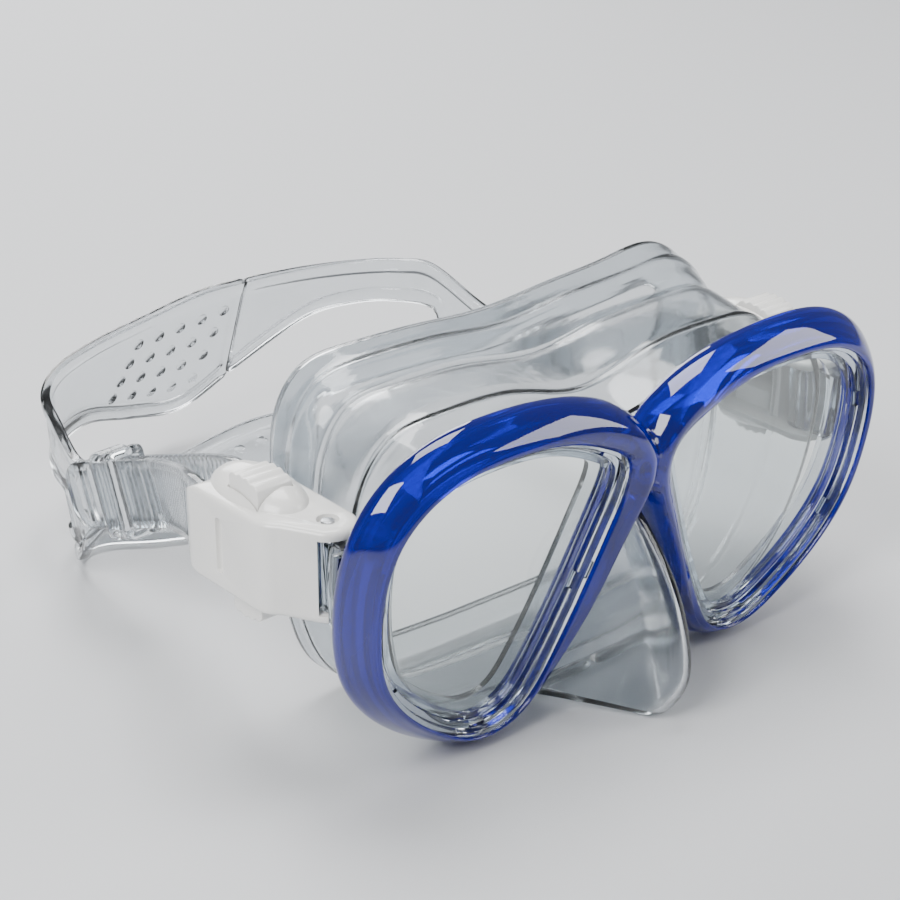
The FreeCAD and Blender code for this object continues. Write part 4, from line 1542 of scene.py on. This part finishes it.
    def button(self, upward: bool) -> bpy.types.Object:
        """Squeeze button: stem in the plate and a crowned, scalloped thumb piece.

        Args:
            upward: True for the top plate's button.

        Returns:
            The closed button.
        """
        inner, outer, front, rear = self.window
        gap = self.button_gap
        sign = 1 if upward else -1
        start, stop = front + gap, rear - gap
        stem, shoulder = self.half_gap - self.button_stem, self.half_housing + 1.0
        least, climb, crown = self.button_rise
        side_view = [(start, stem), (start, shoulder)]
        for step in range(self.button_steps + 1):
            t = step / self.button_steps
            rise = least + climb * t + crown * abs(math.sin(math.pi * t)) ** 0.8
            scallop = self.scallop_rise * abs(math.sin(math.pi * self.button_scallops * t))
            side_view.append((start + (stop - start) * t, self.half_housing + rise + scallop))
        side_view += [(stop, shoulder), (stop, stem)]
        outline = [laid(inner + gap, y, LEVEL + sign * z) for y, z in side_view]
        piece = prism("button", outline, Vector((outer - inner - 2 * gap, 0, 0)) * MM)
        ease(piece, 0.7, 3, math.radians(60))
        smooth_edges(piece, 40)
        return piece

    def softened(self, node: str, name: str, radius: float) -> bpy.types.Object:
        """Copy of a machined or moulded CAD piece with its edges eased.

        Args:
            node: name of the CAD piece.
            name: name of the copy.
            radius: edge rounding in millimetres.

        Returns:
            The copy.
        """
        piece = from_node(node, name)
        ease(piece, radius, 2)
        smooth_edges(piece, 40)
        return piece

    def build(self, side: Side, shelf: Shelf) -> None:
        """Model and dress the whole buckle on one side.

        Args:
            side: side of the mask.
            shelf: finishes.
        """
        word = side.word
        drawn = (
            ("buckle_body", self.body(), "buckle", ("buckle_housing", "buckle_cover")),
            ("upper_button", self.button(True), "upper_button", ("button_upper",)),
            ("lower_button", self.button(False), "lower_button", ("button_lower",)),
        )
        for name, piece, ride, nodes in drawn:
            piece = on_side(piece, side, f"{word}_{name}_moulding")
            dress(piece, shelf.white, f"{word}_{ride}", [f"{word}_{node}" for node in nodes])
            LOG.info("%s: %d faces", piece.name, len(piece.data.polygons))
        roller = self.softened(word + "_strap_roller", word + "_roller_fluted", 0.25)
        dress(roller, shelf.white, word + "_roller", [word + "_strap_roller"])
        lug = self.softened(word + "_buckle_lug", word + "_lug_moulding", 0.4)
        low, high = sorted((side.value * self.lug_reach, side.value * (self.lug_reach + 20.0)))
        cut_with(lug, block("cutter", laid(low, -10.0, 0.0), laid(high, 40.0, 100.0)))
        smooth_edges(lug, 40)
        dress(lug, shelf.clear, "mask", [word + "_buckle_lug"])
        for node in ("hinge_pin", "roller_axle"):
            pin = self.softened(word + "_" + node, word + "_" + node + "_turned", 0.2)
            dress(pin, shelf.steel, word + "_buckle", [word + "_" + node])


# ------------------------------------------------------------------ studio
@dataclass
class Studio:
    """Pale floor, soft lamps and the camera."""

    camera_place: Point = (-342.6, -348.3, 284.5)
    turn: float = -39.94
    drop: float = 24.93
    lens_length: float = 96.0
    floor_size: float = 6.0
    sky: str = "#dfe3e8"
    sky_strength: float = 0.32
    aim: Point = (0.0, 0.0, 0.04)
    lamps: tuple[tuple[str, Point, float, float], ...] = (
        ("key", (-0.75, -0.25, 0.75), 0.5, 11.0), ("fill", (0.75, -0.6, 0.55), 0.5, 5.0),
        ("top", (0.1, 0.2, 1.1), 0.6, 12.0), ("back", (0.35, 0.95, 0.55), 0.6, 9.0))

    def build(self, shelf: Shelf) -> None:
        """Lay the floor, hang the lamps and set the camera.

        Args:
            shelf: finishes.
        """
        deselect_all()
        bpy.ops.mesh.primitive_plane_add(size=self.floor_size)
        floor = bpy.context.object
        floor.name = "studio_floor"
        floor.data.materials.append(shelf.floor)
        world = bpy.data.worlds.new("soft_world")
        bpy.context.scene.world = world
        world.use_nodes = True
        background = world.node_tree.nodes["Background"]
        background.inputs["Color"].default_value = srgb(self.sky)
        background.inputs["Strength"].default_value = self.sky_strength
        for lamp in self.lamps:
            self.lamp(*lamp)
        self.camera()

    def lamp(self, name: str, place: Point, size: float, power: float) -> None:
        """Soft square lamp aimed at the mask.

        Args:
            name: name of the lamp.
            place: place in metres.
            size: side of the square in metres.
            power: power in watts.
        """
        light = bpy.data.lights.new(name, "AREA")
        light.size = size
        light.energy = power
        holder = bpy.data.objects.new(name, light)
        holder.location = place
        aim = Vector(self.aim) - Vector(place)
        holder.rotation_euler = aim.to_track_quat("-Z", "Y").to_euler()
        bpy.context.scene.collection.objects.link(holder)

    def camera(self) -> None:
        """Camera at the viewing angle of the product shot."""
        data = bpy.data.cameras.new("camera")
        data.lens = self.lens_length
        data.sensor_width = 36.0
        data.clip_start = 0.01
        holder = bpy.data.objects.new("camera", data)
        holder.location = laid(*self.camera_place)
        turn, drop = math.radians(self.turn), math.radians(self.drop)
        away = Vector((math.sin(turn) * math.cos(drop), -math.cos(turn) * math.cos(drop), math.sin(drop)))
        holder.rotation_euler = (-away).to_track_quat("-Z", "Y").to_euler()
        bpy.context.scene.collection.objects.link(holder)
        bpy.context.scene.camera = holder


def main() -> None:
    """Build every sub-assembly in order."""
    logging.basicConfig(level=logging.INFO, format="%(message)s")
    shelf = Shelf()
    opening = LensOpening()
    TintedRim().build(opening, shelf)
    LensRetainer().build(opening, shelf)
    SoftSkirt().build(opening, shelf)
    RearStrap().build(shelf)
    for side in Side:
        refinish(side.word + "_lens", shelf.lens)
        StrapTongue().build(side, shelf)
        StrapKeeper().build(side, shelf)
        Buckle().build(side, shelf)
    Studio().build(shelf)


if __name__ == "__main__":
    main()
